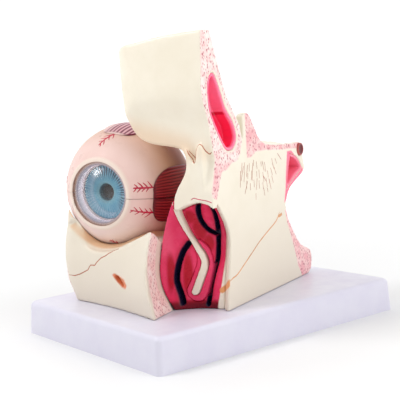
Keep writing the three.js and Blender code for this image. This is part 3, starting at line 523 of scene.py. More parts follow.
def cast_skin(name, nodes, size, fill=0.0, rounds=3):
    """One even skin over CAD solids, eased. Joints narrower than twice the fill close."""
    work = bmesh.new()
    for node in nodes:
        work.from_mesh(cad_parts[node].data)
    bmesh.ops.remove_doubles(work, verts=work.verts, dist=1e-6)
    work.normal_update()
    moved = [vert.co + vert.normal * fill * min(1.7, vert.calc_shell_factor()) for vert in work.verts]
    for vert, place in zip(work.verts, moved):
        vert.co = place
    mesh = bpy.data.meshes.new(name)
    work.to_mesh(mesh)
    work.free()
    rough = link(name + "_rough", mesh)
    even = rough.modifiers.new("even", "REMESH")
    even.mode = "VOXEL"
    even.voxel_size = size
    made = link(name, settled(rough))
    bpy.data.objects.remove(rough)
    made.data.polygons.foreach_set("use_smooth", [True] * len(made.data.polygons))
    move_points(made, positions(made) - normals(made) * fill)
    eased(made, (rounds, 0.5))
    return made


def line_distance(across, up_by, line):
    """Distances of points of a plane from a line of straight stretches."""
    nearest = np.full(len(across), 1e9)
    for (ax, ay), (bx, by) in zip(line, line[1:]):
        ex, ey = bx - ax, by - ay
        share = np.clip(((across - ax) * ex + (up_by - ay) * ey) / (ex * ex + ey * ey), 0, 1)
        nearest = np.minimum(nearest, np.hypot(across - ax - share * ex, up_by - ay - share * ey))
    return nearest


def outline_depth(across, up_by, outline):
    """How deep points of a plane lie inside a closed outline. Outside, the depth is negative."""
    closed = outline + outline[:1]
    inside = np.zeros(len(across), dtype=bool)
    for (ax, ay), (bx, by) in zip(closed, closed[1:]):
        level = (ay > up_by) != (by > up_by)
        inside ^= level & (across < (bx - ax) * (up_by - ay) / ((by - ay) or 1e-9) + ax)
    nearest = line_distance(across, up_by, closed)
    return np.where(inside, nearest, -nearest)


# Outlines on the cut face, in millimetres back and up.
frontal_cut = [
    (-15.8, 194), (-17.2, 174), (-18.6, 158), (-17, 149.8), (-14, 143), (-11, 134), (-9, 124), (-7, 115.7),
    (-10, 104.2), (-12.6, 97), (-12.3, 93.7), (-7.1, 91.6), (-5, 96), (-2.4, 102), (1, 107.6), (7, 108.4),
    (13, 111.6), (20, 112.4), (24.4, 116), (28, 124), (25.6, 134), (18.6, 143), (9.3, 156.4), (2, 173),
    (-5.5, 194),
]
skull_floor_cut = [
    (33, 113.2), (37.4, 112.6), (46, 115.9), (57.3, 115.9), (85.5, 113.8), (104, 113), (113, 112.5),
    (114, 117.5), (86.2, 119), (66.8, 121), (50.5, 126.5), (43.5, 135), (38.5, 141), (34, 143), (33, 140),
]
palate_cut = [
    (84, 73), (86.6, 64.1), (90.6, 56.5), (94.6, 48.1), (98.5, 38.9), (101.1, 31.3), (105.5, 25.4), (108, 20),
    (130, 20), (130, 46), (112, 50), (100, 58), (92, 72),
]
frontal_sinus_rim = [
    (-4.5, 167.3), (-8.6, 165), (-11, 159.4), (-11.4, 152.6), (-9.3, 142.6), (-2.4, 131.6), (5.4, 121.9),
    (10.4, 119.7), (16, 120.1), (20, 123.6), (21.5, 128.6), (17.9, 137.2), (9.3, 146.2), (3.5, 157.8),
    (-1.6, 166),
]

# Outline of the sawn top of the forehead, in millimetres lateral and back.
sawn_top = [(0, -15.8), (54, -15.8), (61.6, -11.6), (61.6, -5.5), (0, -5.5)]

# The sphenoid's hollow on the cut face, in millimetres back and up, which is painted round its cup.
sphenoid_rim = [
    (91.6, 112.2), (98.4, 112.2), (108, 106), (116.6, 97.4), (108, 90), (98, 84.4), (90, 80.6), (83.6, 77.6),
    (86.4, 86), (88.2, 97),
]

# The blob of orange that ends the vomer's line at the front, in millimetres lateral and up.
vomer_foot_line = [(0.2, 39.6), (2.4, 37.2), (7, 33.8)]
vomer_foot_solid = 1.3
vomer_foot_edge = 2.1


def vomer_spot(lateral, height):
    away = line_distance(lateral, height, vomer_foot_line)
    return 1 - rise(away, vomer_foot_solid, vomer_foot_edge)


def mark_bone(piece, **masks):
    """Stores the masks of the bone paint. The ones that are not given stay blank."""
    for name in ("cut", "deep_cut", "socket", "foramen", "sinus_rim", "vomer_foot"):
        mark(piece, name, masks.get(name, 0.0))


def build_casting():
    nodes = ["frontal_bone", "nasal_bone", "septum_plate", "ethmoid_block", "cranial_floor"]
    made = cast_skin("face_casting", nodes, bone_voxel, joint_fill)
    lateral, back_by, height = face_axes(positions(made))
    outer = rise(lateral, 0.8, 3.5) * rise(height, block_foot + 1, block_foot + 5)
    brow = outer * rise(height, 96, 108) * (1 - rise(back_by, 24, 30))
    eased(made, (8, 0.5 * outer), (14, 0.6 * brow))
    points = positions(made)
    lateral, back_by, height = face_axes(points)
    facing = normals(made)
    cut_face = rise(facing @ np.array(medial), 0.5, 0.8) * (1 - rise(lateral, 1.2, 2.4))
    sinus_lip = -outline_depth(back_by, height, frontal_sinus_rim)
    frontal = rise(outline_depth(back_by, height, frontal_cut), -0.2, 0.7) * rise(sinus_lip, 0.9, 1.9)
    skull = rise(outline_depth(back_by, height, skull_floor_cut), -0.2, 0.6)
    palate = rise(outline_depth(back_by, height, palate_cut), -0.4, 0.8)
    sawn = rise(facing[:, 2], 0.6, 0.85) * rise(height, 180, 184)
    sawn *= rise(outline_depth(lateral, back_by, sawn_top), 1.2, 2.4)
    nose_edge = frontal * (1 - rise(height, 110, 116))
    deepest = np.maximum(np.maximum(palate, nose_edge * 0.8), skull * rise(back_by, 30, 34))
    distance = eye_axes(points)[2]
    orbit = (1 - rise(distance / MM, 45.5, 52)) * rise(lateral, 6, 12)
    # Painted shade under the brow, in the tan of the orbit, stronger away from the nose.
    painted_brow_shade = (1 - rise(height - 0.27 * lateral, 118, 133)) * rise(height, 112, 121)
    painted_brow_shade *= (1 - rise(back_by, -4, 2)) * (0.25 + 0.3 * rise(lateral, 10, 18)) * rise(lateral, 0.5, 3)
    toward_front = rise(facing @ np.array(forward), 0.3, 0.6) * (1 - rise(back_by, 5, 6))
    mark_bone(
        made,
        cut=cut_face * np.maximum(np.maximum(frontal, skull), palate) + sawn,
        deep_cut=cut_face * deepest,
        socket=np.maximum(orbit, painted_brow_shade),
        sinus_rim=cut_face * rise(outline_depth(back_by, height, sphenoid_rim), -0.2, 0.4),
        vomer_foot=toward_front * vomer_spot(lateral, height),
    )
    return made


def stipple_group():
    """Hand stippling of a cut bone: short dark dabs in rows over a soft pink blush."""
    tree, ends, out = shader_group("stipple", {"Dab Scale": 760.0, "Cover": 0.86}, ["Dabs", "Blush"])
    place = object_place(tree)
    wander = 1.6 * MM
    drift = put(tree, "ShaderNodeTexNoise", {"Vector": place, "Scale": 240.0, "Detail": 1.0}).outputs["Color"]
    bent = put(tree, "ShaderNodeVectorMath", {0: drift, 1: (wander, wander, wander), 2: place},
               operation="MULTIPLY_ADD").outputs[0]
    drawn = put(tree, "ShaderNodeMapping", {"Vector": bent, "Scale": (1, 1, 0.62)}).outputs[0]
    cells = put(tree, "ShaderNodeTexVoronoi", {"Vector": drawn, "Scale": ends.outputs["Dab Scale"]})
    chances = put(tree, "ShaderNodeSeparateColor", {0: cells.outputs["Color"]})
    chosen = math_node(tree, "LESS_THAN", chances.outputs[0], ends.outputs["Cover"])
    depth = math_node(tree, "MULTIPLY_ADD", chances.outputs[1], 0.6, 0.4)
    dab = ramp(tree, cells.outputs["Distance"], 0.46, 0.26)
    dabs = math_node(tree, "MULTIPLY", dab, math_node(tree, "MULTIPLY", chosen, depth))
    blush = ramp(tree, noise_at(tree, place, 160.0, 4.0, 0.6), 0.36, 0.64)
    wire(tree, out, {"Dabs": dabs, "Blush": blush})
    return tree


stipple = stipple_group()
# Heights between which painted shade darkens the cream toward the foot.
cream_above = 115 * MM
painted_shade_below = 30 * MM


def bone_material():
    """Cream resin, painted shade toward the foot and under the brow, painted cut faces, orbit and foramen."""
    material, tree, shader = new_material("bone_paint")
    mottle = surface(tree, shader, roughness=0.38, spread=0.12, bump=0.1, pebble=0.35)
    height = put(tree, "ShaderNodeSeparateXYZ", {0: object_place(tree)}).outputs["Z"]
    plain = blended(tree, mottle, linear(241, 233, 216), linear(236, 227, 208))
    # Painted shade: the cream darkens toward the foot.
    plain = blended(tree, ramp(tree, height, cream_above, painted_shade_below), plain, linear(228, 217, 200))
    spots = group_node(tree, stipple)
    blush = blended(tree, spots.outputs["Blush"], linear(250, 232, 226), linear(247, 208, 204))
    deep = blended(tree, spots.outputs["Blush"], linear(248, 210, 206), linear(240, 174, 178))
    ground = blended(tree, painted_mask(tree, "deep_cut"), blush, deep)
    dotted = blended(tree, spots.outputs["Dabs"], ground, linear(170, 42, 76))
    colour = layered(tree, blended(tree, painted_mask(tree, "cut"), plain, dotted), {
        # socket: tan sprayed in the orbit, with painted shade under the brow.
        "socket": (226, 188, 150),
        "foramen": (222, 128, 84),
        "sinus_rim": (250, 112, 146),
        "vomer_foot": (228, 158, 104),
    })
    feed(tree, shader.inputs["Base Color"], colour)
    return material


bone_paint = bone_material()
casting = build_casting()
dress(casting, "face_block", "bone", "frontal_bone", "nasal_bone", "septum_plate", "ethmoid_block",
      "cranial_floor", paint=bone_paint)

# Maxilla: the cheek with the floor of the orbit, cast in the same resin as one block. The orbit is
# sprayed tan, and the cut beside the nose and the rough end of the cheek bone are stippled. The
# almond opening for the nerve of the cheek is painted orange inside.
foramen_mouth = [
    (75.4, 44.2), (72.4, 46), (67.2, 45), (62, 43), (59.1, 39), (60.8, 36.4), (65.3, 36.9), (70.2, 39.5),
]
orbit_lip = 42.1 * MM
orbit_wall = 45.5 * MM


def build_maxilla():
    made = cast_skin("maxilla_casting", ["maxilla"], bone_voxel)
    lateral, back_by, height = face_axes(positions(made))
    mouth = outline_depth(lateral, height, foramen_mouth)
    keep = np.clip(rise(-mouth, 0.5, 3) + rise(back_by, -10, -6), 0, 1)
    free = keep * rise(height, block_foot + 1, block_foot + 5)
    eased(made, (8, 0.5 * free), (16, 0.6 * free * rise(lateral, 38, 46)))
    points = positions(made)
    polar, around, distance = eye_axes(points)
    under_pad = rise(polar, 57.5, 60.5) * (1 - rise(abs(around + 92), 21, 23.5))
    below = 1 - rise(abs(around + 90), 50, 56)
    lip = (1 - rise(distance / MM, 46.5, 50)) * (1 - under_pad) * below * (1 - rise(polar, 80, 88))
    closed = orbit_lip + np.maximum(0, distance - orbit_wall) * 0.9
    drawn_in = lip * np.maximum(0, distance - closed) / distance
    points -= (points - np.array(eye_centre)) * drawn_in[:, None]
    move_points(made, points)
    lateral, back_by, height = face_axes(points)
    distance = eye_axes(points)[2]
    facing = normals(made)
    toward_nose = facing @ np.array(medial)
    beside_nose = rise(toward_nose, 0.5, 0.75) * (1 - rise(back_by, -9.5, -8.5))
    foot = 1 - rise(height, 26, 40)
    front_lip = rise(back_by, -29.5 - 2.5 * foot, -27.5 - 3 * foot)
    rear_lip = 1 - rise(back_by, -16.5 + 4 * foot, -14 + 4 * foot)
    broken_end = rise(-toward_nose, 0.35, 0.6) * rise(lateral, 110, 113) * (1 - rise(height, 40, 46))
    mouth = outline_depth(lateral, height, foramen_mouth)
    mark_bone(
        made,
        # The stipple beside the nose is weakened: painted light, so it looks lighter against the shade it
        # stands in.
        cut=beside_nose * front_lip * rear_lip * 0.82 + broken_end * 0.8,
        deep_cut=beside_nose * 0.4 * foot,
        socket=(1 - rise(distance / MM, 46.6, 48.6)) * rise(facing[:, 2], -0.2, 0.5),
        foramen=rise(mouth, 0.1, 0.9) * (1 - rise(back_by, -8, -5)),
    )
    return made


maxilla = build_maxilla()
dress(maxilla, "face_block", "bone", "maxilla", paint=bone_paint)

# Painted lines: bone sutures, the line of the vomer and the fan of the olfactory nerves, laid on
# with a fine brush in thick enamel, so that each stands a little proud of the bone.
bead_rise = 0.16 * MM
brush_reach = 60 * MM
stroke_tip = 0.35
stroke_taper = 8
line_front = -12


def bead_tree():
    """Turns painted paths into low round beads: profile, sweep, one solid mesh, one material."""
    tree = bpy.data.node_groups.new("bead_line", "GeometryNodeTree")
    tree.interface.new_socket("Paths", in_out="INPUT", socket_type="NodeSocketGeometry")
    facets = tree.interface.new_socket("Facets", in_out="INPUT", socket_type="NodeSocketInt")
    facets.default_value = 32
    tree.interface.new_socket("Enamel", in_out="INPUT", socket_type="NodeSocketMaterial")
    tree.interface.new_socket("Beads", in_out="OUTPUT", socket_type="NodeSocketGeometry")
    ends = tree.nodes.new("NodeGroupInput")
    profile = put(tree, "GeometryNodeCurvePrimitiveCircle",
                  {"Resolution": ends.outputs["Facets"], "Radius": 1.0}).outputs["Curve"]
    width = put(tree, "GeometryNodeInputRadius").outputs[0]
    sweep = put(tree, "GeometryNodeCurveToMesh", {
        "Curve": ends.outputs["Paths"], "Profile Curve": profile, "Scale": width, "Fill Caps": True})
    smooth = put(tree, "GeometryNodeSetShadeSmooth", {0: sweep.outputs[0]})
    real = put(tree, "GeometryNodeRealizeInstances", {0: smooth.outputs[0]})
    coated = put(tree, "GeometryNodeSetMaterial", {
        "Geometry": real.outputs[0], "Material": ends.outputs["Enamel"]})
    put(tree, "NodeGroupOutput", {0: coated.outputs[0]})
    return tree


bead_line = bead_tree()


def bead_lines(name, strokes, enamel):
    """One mesh of beads. A stroke is a list of (point, surface normal, half width) along its path."""
    curve = bpy.data.curves.new(name, "CURVE")
    curve.dimensions = "3D"
    for stroke in strokes:
        spline = curve.splines.new("POLY")
        spline.points.add(len(stroke) - 1)
        for knot, (point, normal, half_width) in zip(spline.points, stroke):
            radius = max(half_width, (half_width ** 2 + bead_rise ** 2) / (2 * bead_rise))
            knot.co = (*(point - normal * (radius - bead_rise)), 1)
            knot.radius = radius
    drawn = link(name + "_paths", curve)
    sweep = drawn.modifiers.new("beads", "NODES")
    sweep.node_group = bead_line
    for item in bead_line.interface.items_tree:
        if item.in_out == "INPUT" and item.name == "Enamel":
            sweep[item.identifier] = enamel
    made = link(name, settled(drawn))
    bpy.data.objects.remove(drawn)
    return made


def enamel(name, *tone):
    """Glossy enamel with slightly darker streaks."""
    return painted(name, tone, [channel * 0.86 for channel in tone], roughness=0.3, bump=0.08)


def smooth_line(knots, steps=6):
    """A rounded line through knots, as a list of points."""
    ends = [2 * knots[0] - knots[1]] + knots + [2 * knots[-1] - knots[-2]]
    line = []
    for before, start, end, after in zip(ends, ends[1:], ends[2:], ends[3:]):
        for i in range(steps):
            t = i / steps
            bend = (2 * before - 5 * start + 4 * end - after) * t ** 2
            twist = (3 * start - before - 3 * end + after) * t ** 3
            line.append(0.5 * (2 * start + (end - before) * t + bend + twist))
    return line + [knots[-1]]


def front_line(knots):
    """A rounded line in front of the face, from places in millimetres lateral and up."""
    return smooth_line([face_point(u, line_front, z) for u, z in knots])


def cut_line(knots, steps=6):
    """A rounded line on the cut face, from places in millimetres back and up."""
    return smooth_line([face_point(0, s, z) for s, z in knots], steps)


def surface_tree(piece):
    return BVHTree.FromObject(piece, bpy.context.evaluated_depsgraph_get())


def brushed(tree, line, towards, wide, narrow=None):
    """A stroke of enamel: a line dropped on a surface along a direction, tapered to its ends."""
    narrow = wide if narrow is None else narrow
    stroke = []
    for i, point in enumerate(line):
        share = i / (len(line) - 1)
        found, normal, _, _ = tree.ray_cast(point - towards * brush_reach, towards)
        if found is not None:
            taper = min(1, stroke_tip + stroke_taper * min(share, 1 - share))
            stroke.append((found, normal, (wide + (narrow - wide) * share) * taper * MM))
    return stroke


backward = -forward
lateral_way = -medial
casting_tree = surface_tree(casting)
maxilla_tree = surface_tree(maxilla)
suture_brown = enamel("suture_brown", 190, 112, 78)
vomer_orange = enamel("vomer_orange", 226, 160, 108)
nerve_brown = enamel("nerve_brown", 196, 142, 122)

# Places of the sutures in millimetres lateral and up: two across the bridge of the nose, and one that
# runs down the cheek from the rim of the orbit.
nose_suture = [
    (17.3, 122.5), (15.1, 119.2), (12.6, 115.4), (10.9, 114.7), (10, 117.6), (9.2, 122.6), (8, 125.2),
    (6.9, 125.3), (5.6, 124.2), (4.4, 121), (2.8, 119.4), (1.2, 120.6),
]
second_suture = [(15.9, 121.8), (13.6, 118.6), (11.8, 115.9)]
cheek_suture = [
    (119.5, 39.2), (113, 39.4), (108.2, 40.8), (103.6, 42.8), (99.5, 44.6), (97.6, 46.9), (96.2, 48.1),
    (92, 48.4), (89.3, 50.9), (84.9, 53.9), (80, 55.9), (77.6, 57.4), (72.4, 59.6), (66, 61.8),
]
cheek_line = [face_point(u, line_front, z) for u, z in cheek_suture]
cheek_line = [a.lerp(b, k / 4) for a, b in zip(cheek_line, cheek_line[1:]) for k in range(4)]
sutures = [
    brushed(casting_tree, front_line(nose_suture), backward, 0.34),
    brushed(casting_tree, front_line(second_suture), backward, 0.24),
    brushed(maxilla_tree, cheek_line, backward, 0.34),
]
dress(bead_lines("sutures", sutures, suture_brown), "face_block", "bone")

# Places of the vomer's line and of the short fork at its back, in back and up.
vomer_knots = [
    (3.7, 40.3), (7.2, 41.4), (13.7, 42.8), (22.2, 46.8), (33.6, 52.3), (45.4, 58), (57.4, 62.6),
    (69.9, 67.4), (75.6, 72.6),
]
fork_knots = [(72.4, 70.6), (76, 70.2), (80.8, 71.4)]
vomer = [
    brushed(casting_tree, cut_line(vomer_knots), lateral_way, 0.42, 0.46),
    brushed(casting_tree, cut_line(fork_knots), lateral_way, 1.1),
]
dress(bead_lines("vomer_line", vomer, vomer_orange), "face_block", "bone")

# First and last points of the nerve fibres that stand out, in back and up.
olfactory_main = [
    ((23.8, 105.9), (22.4, 95.7)), ((27.9, 108.6), (23.9, 99.6)), ((33.4, 108.9), (31.2, 101.1)),
    ((32.3, 98.5), (28.1, 90.9)), ((40.4, 109.4), (38.4, 97.8)), ((45.6, 99.1), (43.9, 91.5)),
    ((53.7, 109.3), (55.9, 102.5)), ((53.8, 100.2), (57.9, 95.6)), ((62.5, 96.7), (64.7, 89.6)),
    ((68.4, 106.2), (70.8, 102.2)), ((76.7, 112.2), (82.1, 107.5)),
]
fan_rows = 4
fan_columns = 10
fan_start = 26
fan_step = 5.2
fan_middle = 50
fan_half = 26
fan_top = 110
fan_row_drop = 6.6


def olfactory_fan():
    """Short strokes that hang from the floor of the skull and spread downward, in four rows."""
    draw = np.random.default_rng(7)
    strokes = []
    for top, foot in olfactory_main:
        middle = ((top[0] + foot[0]) / 2, (top[1] + foot[1]) / 2)
        strokes.append(brushed(casting_tree, cut_line((top, middle, foot), 3), lateral_way, 0.36, 0.26))
    for row in range(fan_rows):
        for column in range(fan_columns):
            across = fan_start + fan_step * column + draw.uniform(-1.4, 1.4)
            across += fan_step / 2 * (row % 2)
            middle = (across - fan_middle) / fan_half
            top = fan_top - fan_row_drop * row * (1 - 0.18 * abs(middle)) + draw.uniform(-1.6, 1.2)
            length = draw.uniform(3.2, 7.4)
            lean = 0.10 + 0.42 * middle + draw.uniform(-0.1, 0.1)
            if top < 86 + 20 * abs(middle) ** 1.5 or across > 80 or draw.random() < 0.12:
                continue
            knots = [(across + lean * length * k, top - length * k) for k in (0, 0.5, 1)]
            knots[1] = (knots[1][0] + draw.uniform(-0.3, 0.3), knots[1][1])
            strokes.append(brushed(casting_tree, cut_line(knots, 3), lateral_way, 0.26, 0.18))
    return strokes


dress(bead_lines("olfactory_fibres", olfactory_fan(), nerve_brown), "face_block", "bone")

# Nasal cavity: the lining is its own moulding in crimson plastic, set in beside the plate. Deep
# grooves for the three passages are painted dark blue, and painted shade makes the hollows between
# them and the sides of the grooves a deeper red.
upper_passage = [(16.8, 88.9), (18.5, 84.3), (18.9, 79), (17.7, 74.3), (15.3, 70.9), (12, 69)]
middle_passage = [
    (8.4, 87.2), (8.1, 83.1), (8.8, 77.6), (9.7, 70.9), (10.2, 64.5), (10.3, 58.3), (10.6, 53.4),
    (11.8, 48.4), (13.3, 42.9), (14.6, 36.7), (15.4, 30.5), (16.3, 24.8),
]
lower_passage = [
    (27.5, 63.2), (30.4, 58.9), (32.2, 54.6), (33.8, 49.6), (34.9, 43.3), (34.8, 39), (33.7, 35.2),
    (32.1, 30.9), (30.6, 26),
]
passage_width = 2.9
lining_voxel = 0.55 * MM

# How far from the middle plane the lining is painted as the foot of the septum: (up, lateral).
septum_foot = [(24, 9.6), (27.7, 9.2), (33.9, 8), (40, 7.1), (52.2, 5.6), (64.5, 5.3), (74, 4.4)]

# Where the lining shows as a thin edge under the nasal bone, in millimetres lateral and up.
opening_edge = [(15.4, 92.2), (13, 93.4), (9.6, 92.9), (5.3, 92.3), (1.9, 91.2), (0.6, 90.7)]

# Soft patches of painted shade, a deeper red in the lining's hollows: (lateral, up, half across, half up).
hollow_shade_patches = [
    (28.6, 44, 3.2, 15), (16, 62.5, 4, 6.5), (20.5, 72, 4.5, 9), (24, 80, 4, 5), (37.5, 45, 2.6, 13),
    (22, 24.6, 20, 3.4),
]


def flat_line(knots):
    return [(p.x, p.y) for p in smooth_line([Vector((a, b, 0)) for a, b in knots])]


def paint_passages(piece):
    lateral, back_by, height = face_axes(positions(piece))
    away = np.minimum.reduce([line_distance(lateral, height, flat_line(knots))
                              for knots in (upper_passage, middle_passage, lower_passage)])
    away -= passage_width / 2
    mark(piece, "passage", 1 - rise(away, -0.2, 0.5))
    # Painted shade: a deeper red beside the grooves and in soft patches in the hollows.
    deep = 0.5 * (1 - rise(away, 0, 3))
    for middle, level, half_across, half_up in hollow_shade_patches:
        spread = np.hypot((lateral - middle) / half_across, (height - level) / half_up)
        deep = np.maximum(deep, 1 - rise(spread, 0.55, 1.25))
    mark(piece, "hollow_shade_red", deep)
    mark(piece, "dark_foot", 1 - rise(height, 24.5, 29))
    edge = np.interp(height, *zip(*septum_foot))
    mark(piece, "septum_cream", (1 - rise(lateral - edge, -0.4, 0.2)) * (1 - rise(height, 70, 74)))
    mark(piece, "vomer_foot", vomer_spot(lateral, height))
    mark(piece, "cheek_side", rise(lateral, 33, 38) * rise(height, 50, 62))


lining = cast_skin("nasal_lining", ["nasal_mucosa"], lining_voxel, rounds=11)
swollen(lining, gap)
paint_passages(lining)
crimson = painted(
    "crimson_lining", (220, 40, 84), (230, 62, 106), {
        "cheek_side": (232, 80, 116),
        # Painted shade in the hollows and beside the grooves.
        "hollow_shade_red": (178, 8, 38),
        "dark_foot": (112, 6, 30),
        "passage": (24, 18, 44),
        "septum_cream": (238, 228, 212),
        "vomer_foot": (228, 158, 104),
    }, specular=0.2, roughness=0.3, spread=0.14, bump=0.14)
dress(lining, "face_block", "mucosa", "nasal_mucosa", paint=crimson)
edge_red = enamel("edge_red", 214, 92, 112)
edge_stroke = brushed(casting_tree, front_line(opening_edge), backward, 0.3)
dress(bead_lines("opening_edge", [edge_stroke], edge_red), "face_block", "bone")

# Lower concha and its bone: a rolled pink moulding round a strip of cream bone, both seated in the
# lining. The strip runs up along the lining to the side of the nose.

# The strip's outer edge by (up, lateral), and the share of its width that stays by (up, share).
strip_edge = [(54.9, 19.8), (60.6, 22.6), (67.9, 26.9), (73.3, 28.6), (80, 30.2), (85.3, 30.8)]
strip_width = [(40, 1), (46, 0.95), (54, 0.66), (64, 0.62), (72, 0.55), (86, 0.46)]
concha_voxel = 0.45 * MM


def narrowed(piece):
    """Thins the strip toward its outer edge, and lifts its top."""
    points = positions(piece)
    lateral, back_by, height = face_axes(points)
    inward = np.maximum(0, np.interp(height, *zip(*strip_edge)) - lateral)
    inward *= 1 - np.interp(height, *zip(*strip_width))
    points -= np.outer(inward * MM, np.array(medial))
    points += np.outer(0.5 * MM * rise(height, 80, 86), np.array(upward))
    move_points(piece, points)


concha_pink = painted("concha_pink", (230, 70, 112), (222, 50, 94),
                      specular=0.25, roughness=0.3, spread=0.14, bump=0.14)
concha = cast_skin("concha_scroll", ["inferior_concha"], concha_voxel, rounds=13)
dress(concha, "face_block", "mucosa", "inferior_concha", paint=concha_pink)
strip = cast_skin("concha_bone_strip", ["concha_bone"], concha_voxel, rounds=9)
narrowed(strip)
mark_bone(strip)
dress(strip, "face_block", "bone", "concha_bone", paint=bone_paint)

# Air sinuses: two pink plastic cups glued into the cut face. The front one has a darker lower
# chamber behind a step, with a dark red line along the step's edge.
sinus_step = 142.6
cup_voxel = 0.5 * MM
sinus_pink = painted(
    "sinus_pink", (255, 130, 164), (254, 114, 150), {
        "pale_cup": (252, 128, 154),
        "chamber": (252, 50, 96),
        "step_line": (206, 22, 60),
    }, specular=0.3, roughness=0.22, spread=0.1, bump=0.08)
tree = sinus_pink.node_tree
wire(tree, tree.nodes["Principled BSDF"], {"Coat Weight": 0.3, "Coat Roughness": 0.08})
for node in ("frontal_sinus_lining", "sphenoid_sinus_lining"):
    cup = cast_skin(node + "_cup", [node], cup_voxel, rounds=11)
    swollen(cup, gap)
    lateral, back_by, height = face_axes(positions(cup))
    below = 1 - rise(height, sinus_step - 0.5, sinus_step + 0.5)
    frontal = node.startswith("frontal") * rise(lateral, 1.4, 2.6)
    mark(cup, "pale_cup", float(node.startswith("sphenoid")))
    mark(cup, "chamber", frontal * below)
    mark(cup, "step_line", frontal * (1 - rise(abs(height - sinus_step), 0.5, 1.4)))
    dress(cup, "face_block", "sinus", node, paint=sinus_pink)

# Optic chiasm: a short red brown stump that lies across the back of the floor of the skull. Its cut
# end is darker inside a pale sheath.
chiasm_low, chiasm_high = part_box("optic_chiasm")
chiasm_middle = (Vector(chiasm_low) + Vector(chiasm_high)) / 2
chiasm_radius = (chiasm_high[2] - chiasm_low[2]) / 2
chiasm_half = 6.5 * MM
chiasm_profile = [
    (0.02, -1), (0.8, -1), (0.97, -0.95), (1, -0.88), (1, 0.88), (0.97, 0.95), (0.86, 1), (0.72, 0.95),
    (0.02, 0.95),
]


def reach_along(points, middle, axis):
    """Distance from a line through a middle, and distance ahead along it, of an array of points."""
    away = points - np.array(middle)
    ahead = away @ np.array(axis)
    return np.linalg.norm(away - np.outer(ahead, np.array(axis)), axis=1), ahead


rings = []
for share, along in chiasm_profile:
    radius = share * chiasm_radius
    rings.append([chiasm_middle + medial * along * chiasm_half
                  + (forward * math.cos(a) + upward * math.sin(a)) * radius for a in circle(48)])
stump = plain_solid("optic_chiasm_stump", rings, 50)
radius, along = reach_along(positions(stump), chiasm_middle, medial)
core = 1 - rise(radius / chiasm_radius, 0.7, 0.85)
mark(stump, "cut_end", core * rise(along / chiasm_half, 0.9, 0.94))
chiasm_paint = painted("chiasm_brown", (200, 106, 102), (172, 78, 76), {"cut_end": (104, 30, 36)},
                       specular=0.25, roughness=0.38, bump=0.16)
dress(stump, "face_block", "chiasm", "optic_chiasm", paint=chiasm_paint)

# Eyeball shells: the sclera is moulded in two halves that meet on a nearly level seam, with pegs in
# the lower rim. A sleeve behind the cornea's seat reaches back to the iris. Outside it is sprayed
# pinkish beige, tan toward the back, with a cream rim round the cornea. Painted shade deepens the tan
# toward the nose and under the brow, and painted light reflected from the base makes the underside a
# paler lilac. The sleeve is pinkish white, with a faint glow of painted light for what the cornea
# lets in.
shell_gap = 0.6 * MM
eye_radius = 41.8 * MM
sclera_wall = 3.6 * MM
choroid_wall = 2.4 * MM
seam_drop = 1.8 * MM
seam_tilt = math.radians(5)
sleeve_wall = 1.8 * MM
gaze_inward = math.radians(1.6)
gaze_down = math.radians(1)
cornea_seat_radius = 20.6 * MM
cornea_flange = 1.6 * MM
rim_width = 1.9 * MM
rim_proud = 0.7 * MM
nerve_radius = 5 * MM
peg_radius = 0.9 * MM
peg_depth = 2 * MM
peg_height = 1.9 * MM
peg_tip = 0.5 * MM
peg_places = (35, 145, 215, 325)
# Colour of the painted light on the sleeve, for what the clear cornea lets in.
painted_sleeve_glow = (0.3, 0.23, 0.27, 1)


def eye_point(radius, polar, around):
    """A point from its distance and two angles in degrees: from the front, and round the axis."""
    p, a = math.radians(polar), math.radians(around)
    sideways = medial * math.cos(a) + upward * math.sin(a)
    return eye_centre + (forward * math.cos(p) + sideways * math.sin(p)) * radius


# The eye looks a little toward the nose and down. Its front, its side and its upper way.
gaze = ((forward * math.cos(gaze_inward) + medial * math.sin(gaze_inward)) * math.cos(gaze_down)
        - upward * math.sin(gaze_down))
gaze_side = medial * math.cos(gaze_inward) - forward * math.sin(gaze_inward)
gaze_up = gaze.cross(gaze_side)


def eye_turned(profile, segments=160, axes=(gaze, gaze_side, gaze_up)):
    """A closed profile of (radius, forward) in metres, turned about the line of sight."""
    ahead_way, side_way, up_way = axes
    work = bmesh.new()
    columns = []
    for a in circle(segments):
        sideways = side_way * math.cos(a) + up_way * math.sin(a)
        columns.append([work.verts.new(eye_centre + ahead_way * ahead + sideways * radius)
                        for radius, ahead in profile])
    on_axis = [radius < 1e-9 for radius, ahead in profile]
    for first, second in zip(columns, columns[1:] + columns[:1]):
        for j in range(len(profile)):
            k = (j + 1) % len(profile)
            if on_axis[j] and on_axis[k]:
                continue
            far_side = [second[i] for i in (k, j) if not on_axis[i]]
            work.faces.new([first[j], first[k], *far_side])
    bmesh.ops.remove_doubles(work, verts=work.verts, dist=1e-7)
    return work


def arc(radius, start, end, steps):
    """Points of a circle about the eye's middle, by angles from the front in radians."""
    return [(radius * math.sin(a), radius * math.cos(a)) for a in np.linspace(start, end, steps)]


seam_place = eye_centre - upward * seam_drop
seam_normal = Vector(upward)
seam_normal.rotate(Matrix.Rotation(seam_tilt, 3, -forward))


def half_of(work, upper):
    """Keeps one side of the seam and closes the cut."""
    side = 1 if upper else -1
    everything = work.verts[:] + work.edges[:] + work.faces[:]
    cut = bmesh.ops.bisect_plane(work, geom=everything, plane_co=seam_place + upward * side * gap / 2,
                                 plane_no=seam_normal * side, clear_inner=True)
    edges = [e for e in cut["geom_cut"] if isinstance(e, bmesh.types.BMEdge)]
    bmesh.ops.triangle_fill(work, edges=edges, use_beauty=True)


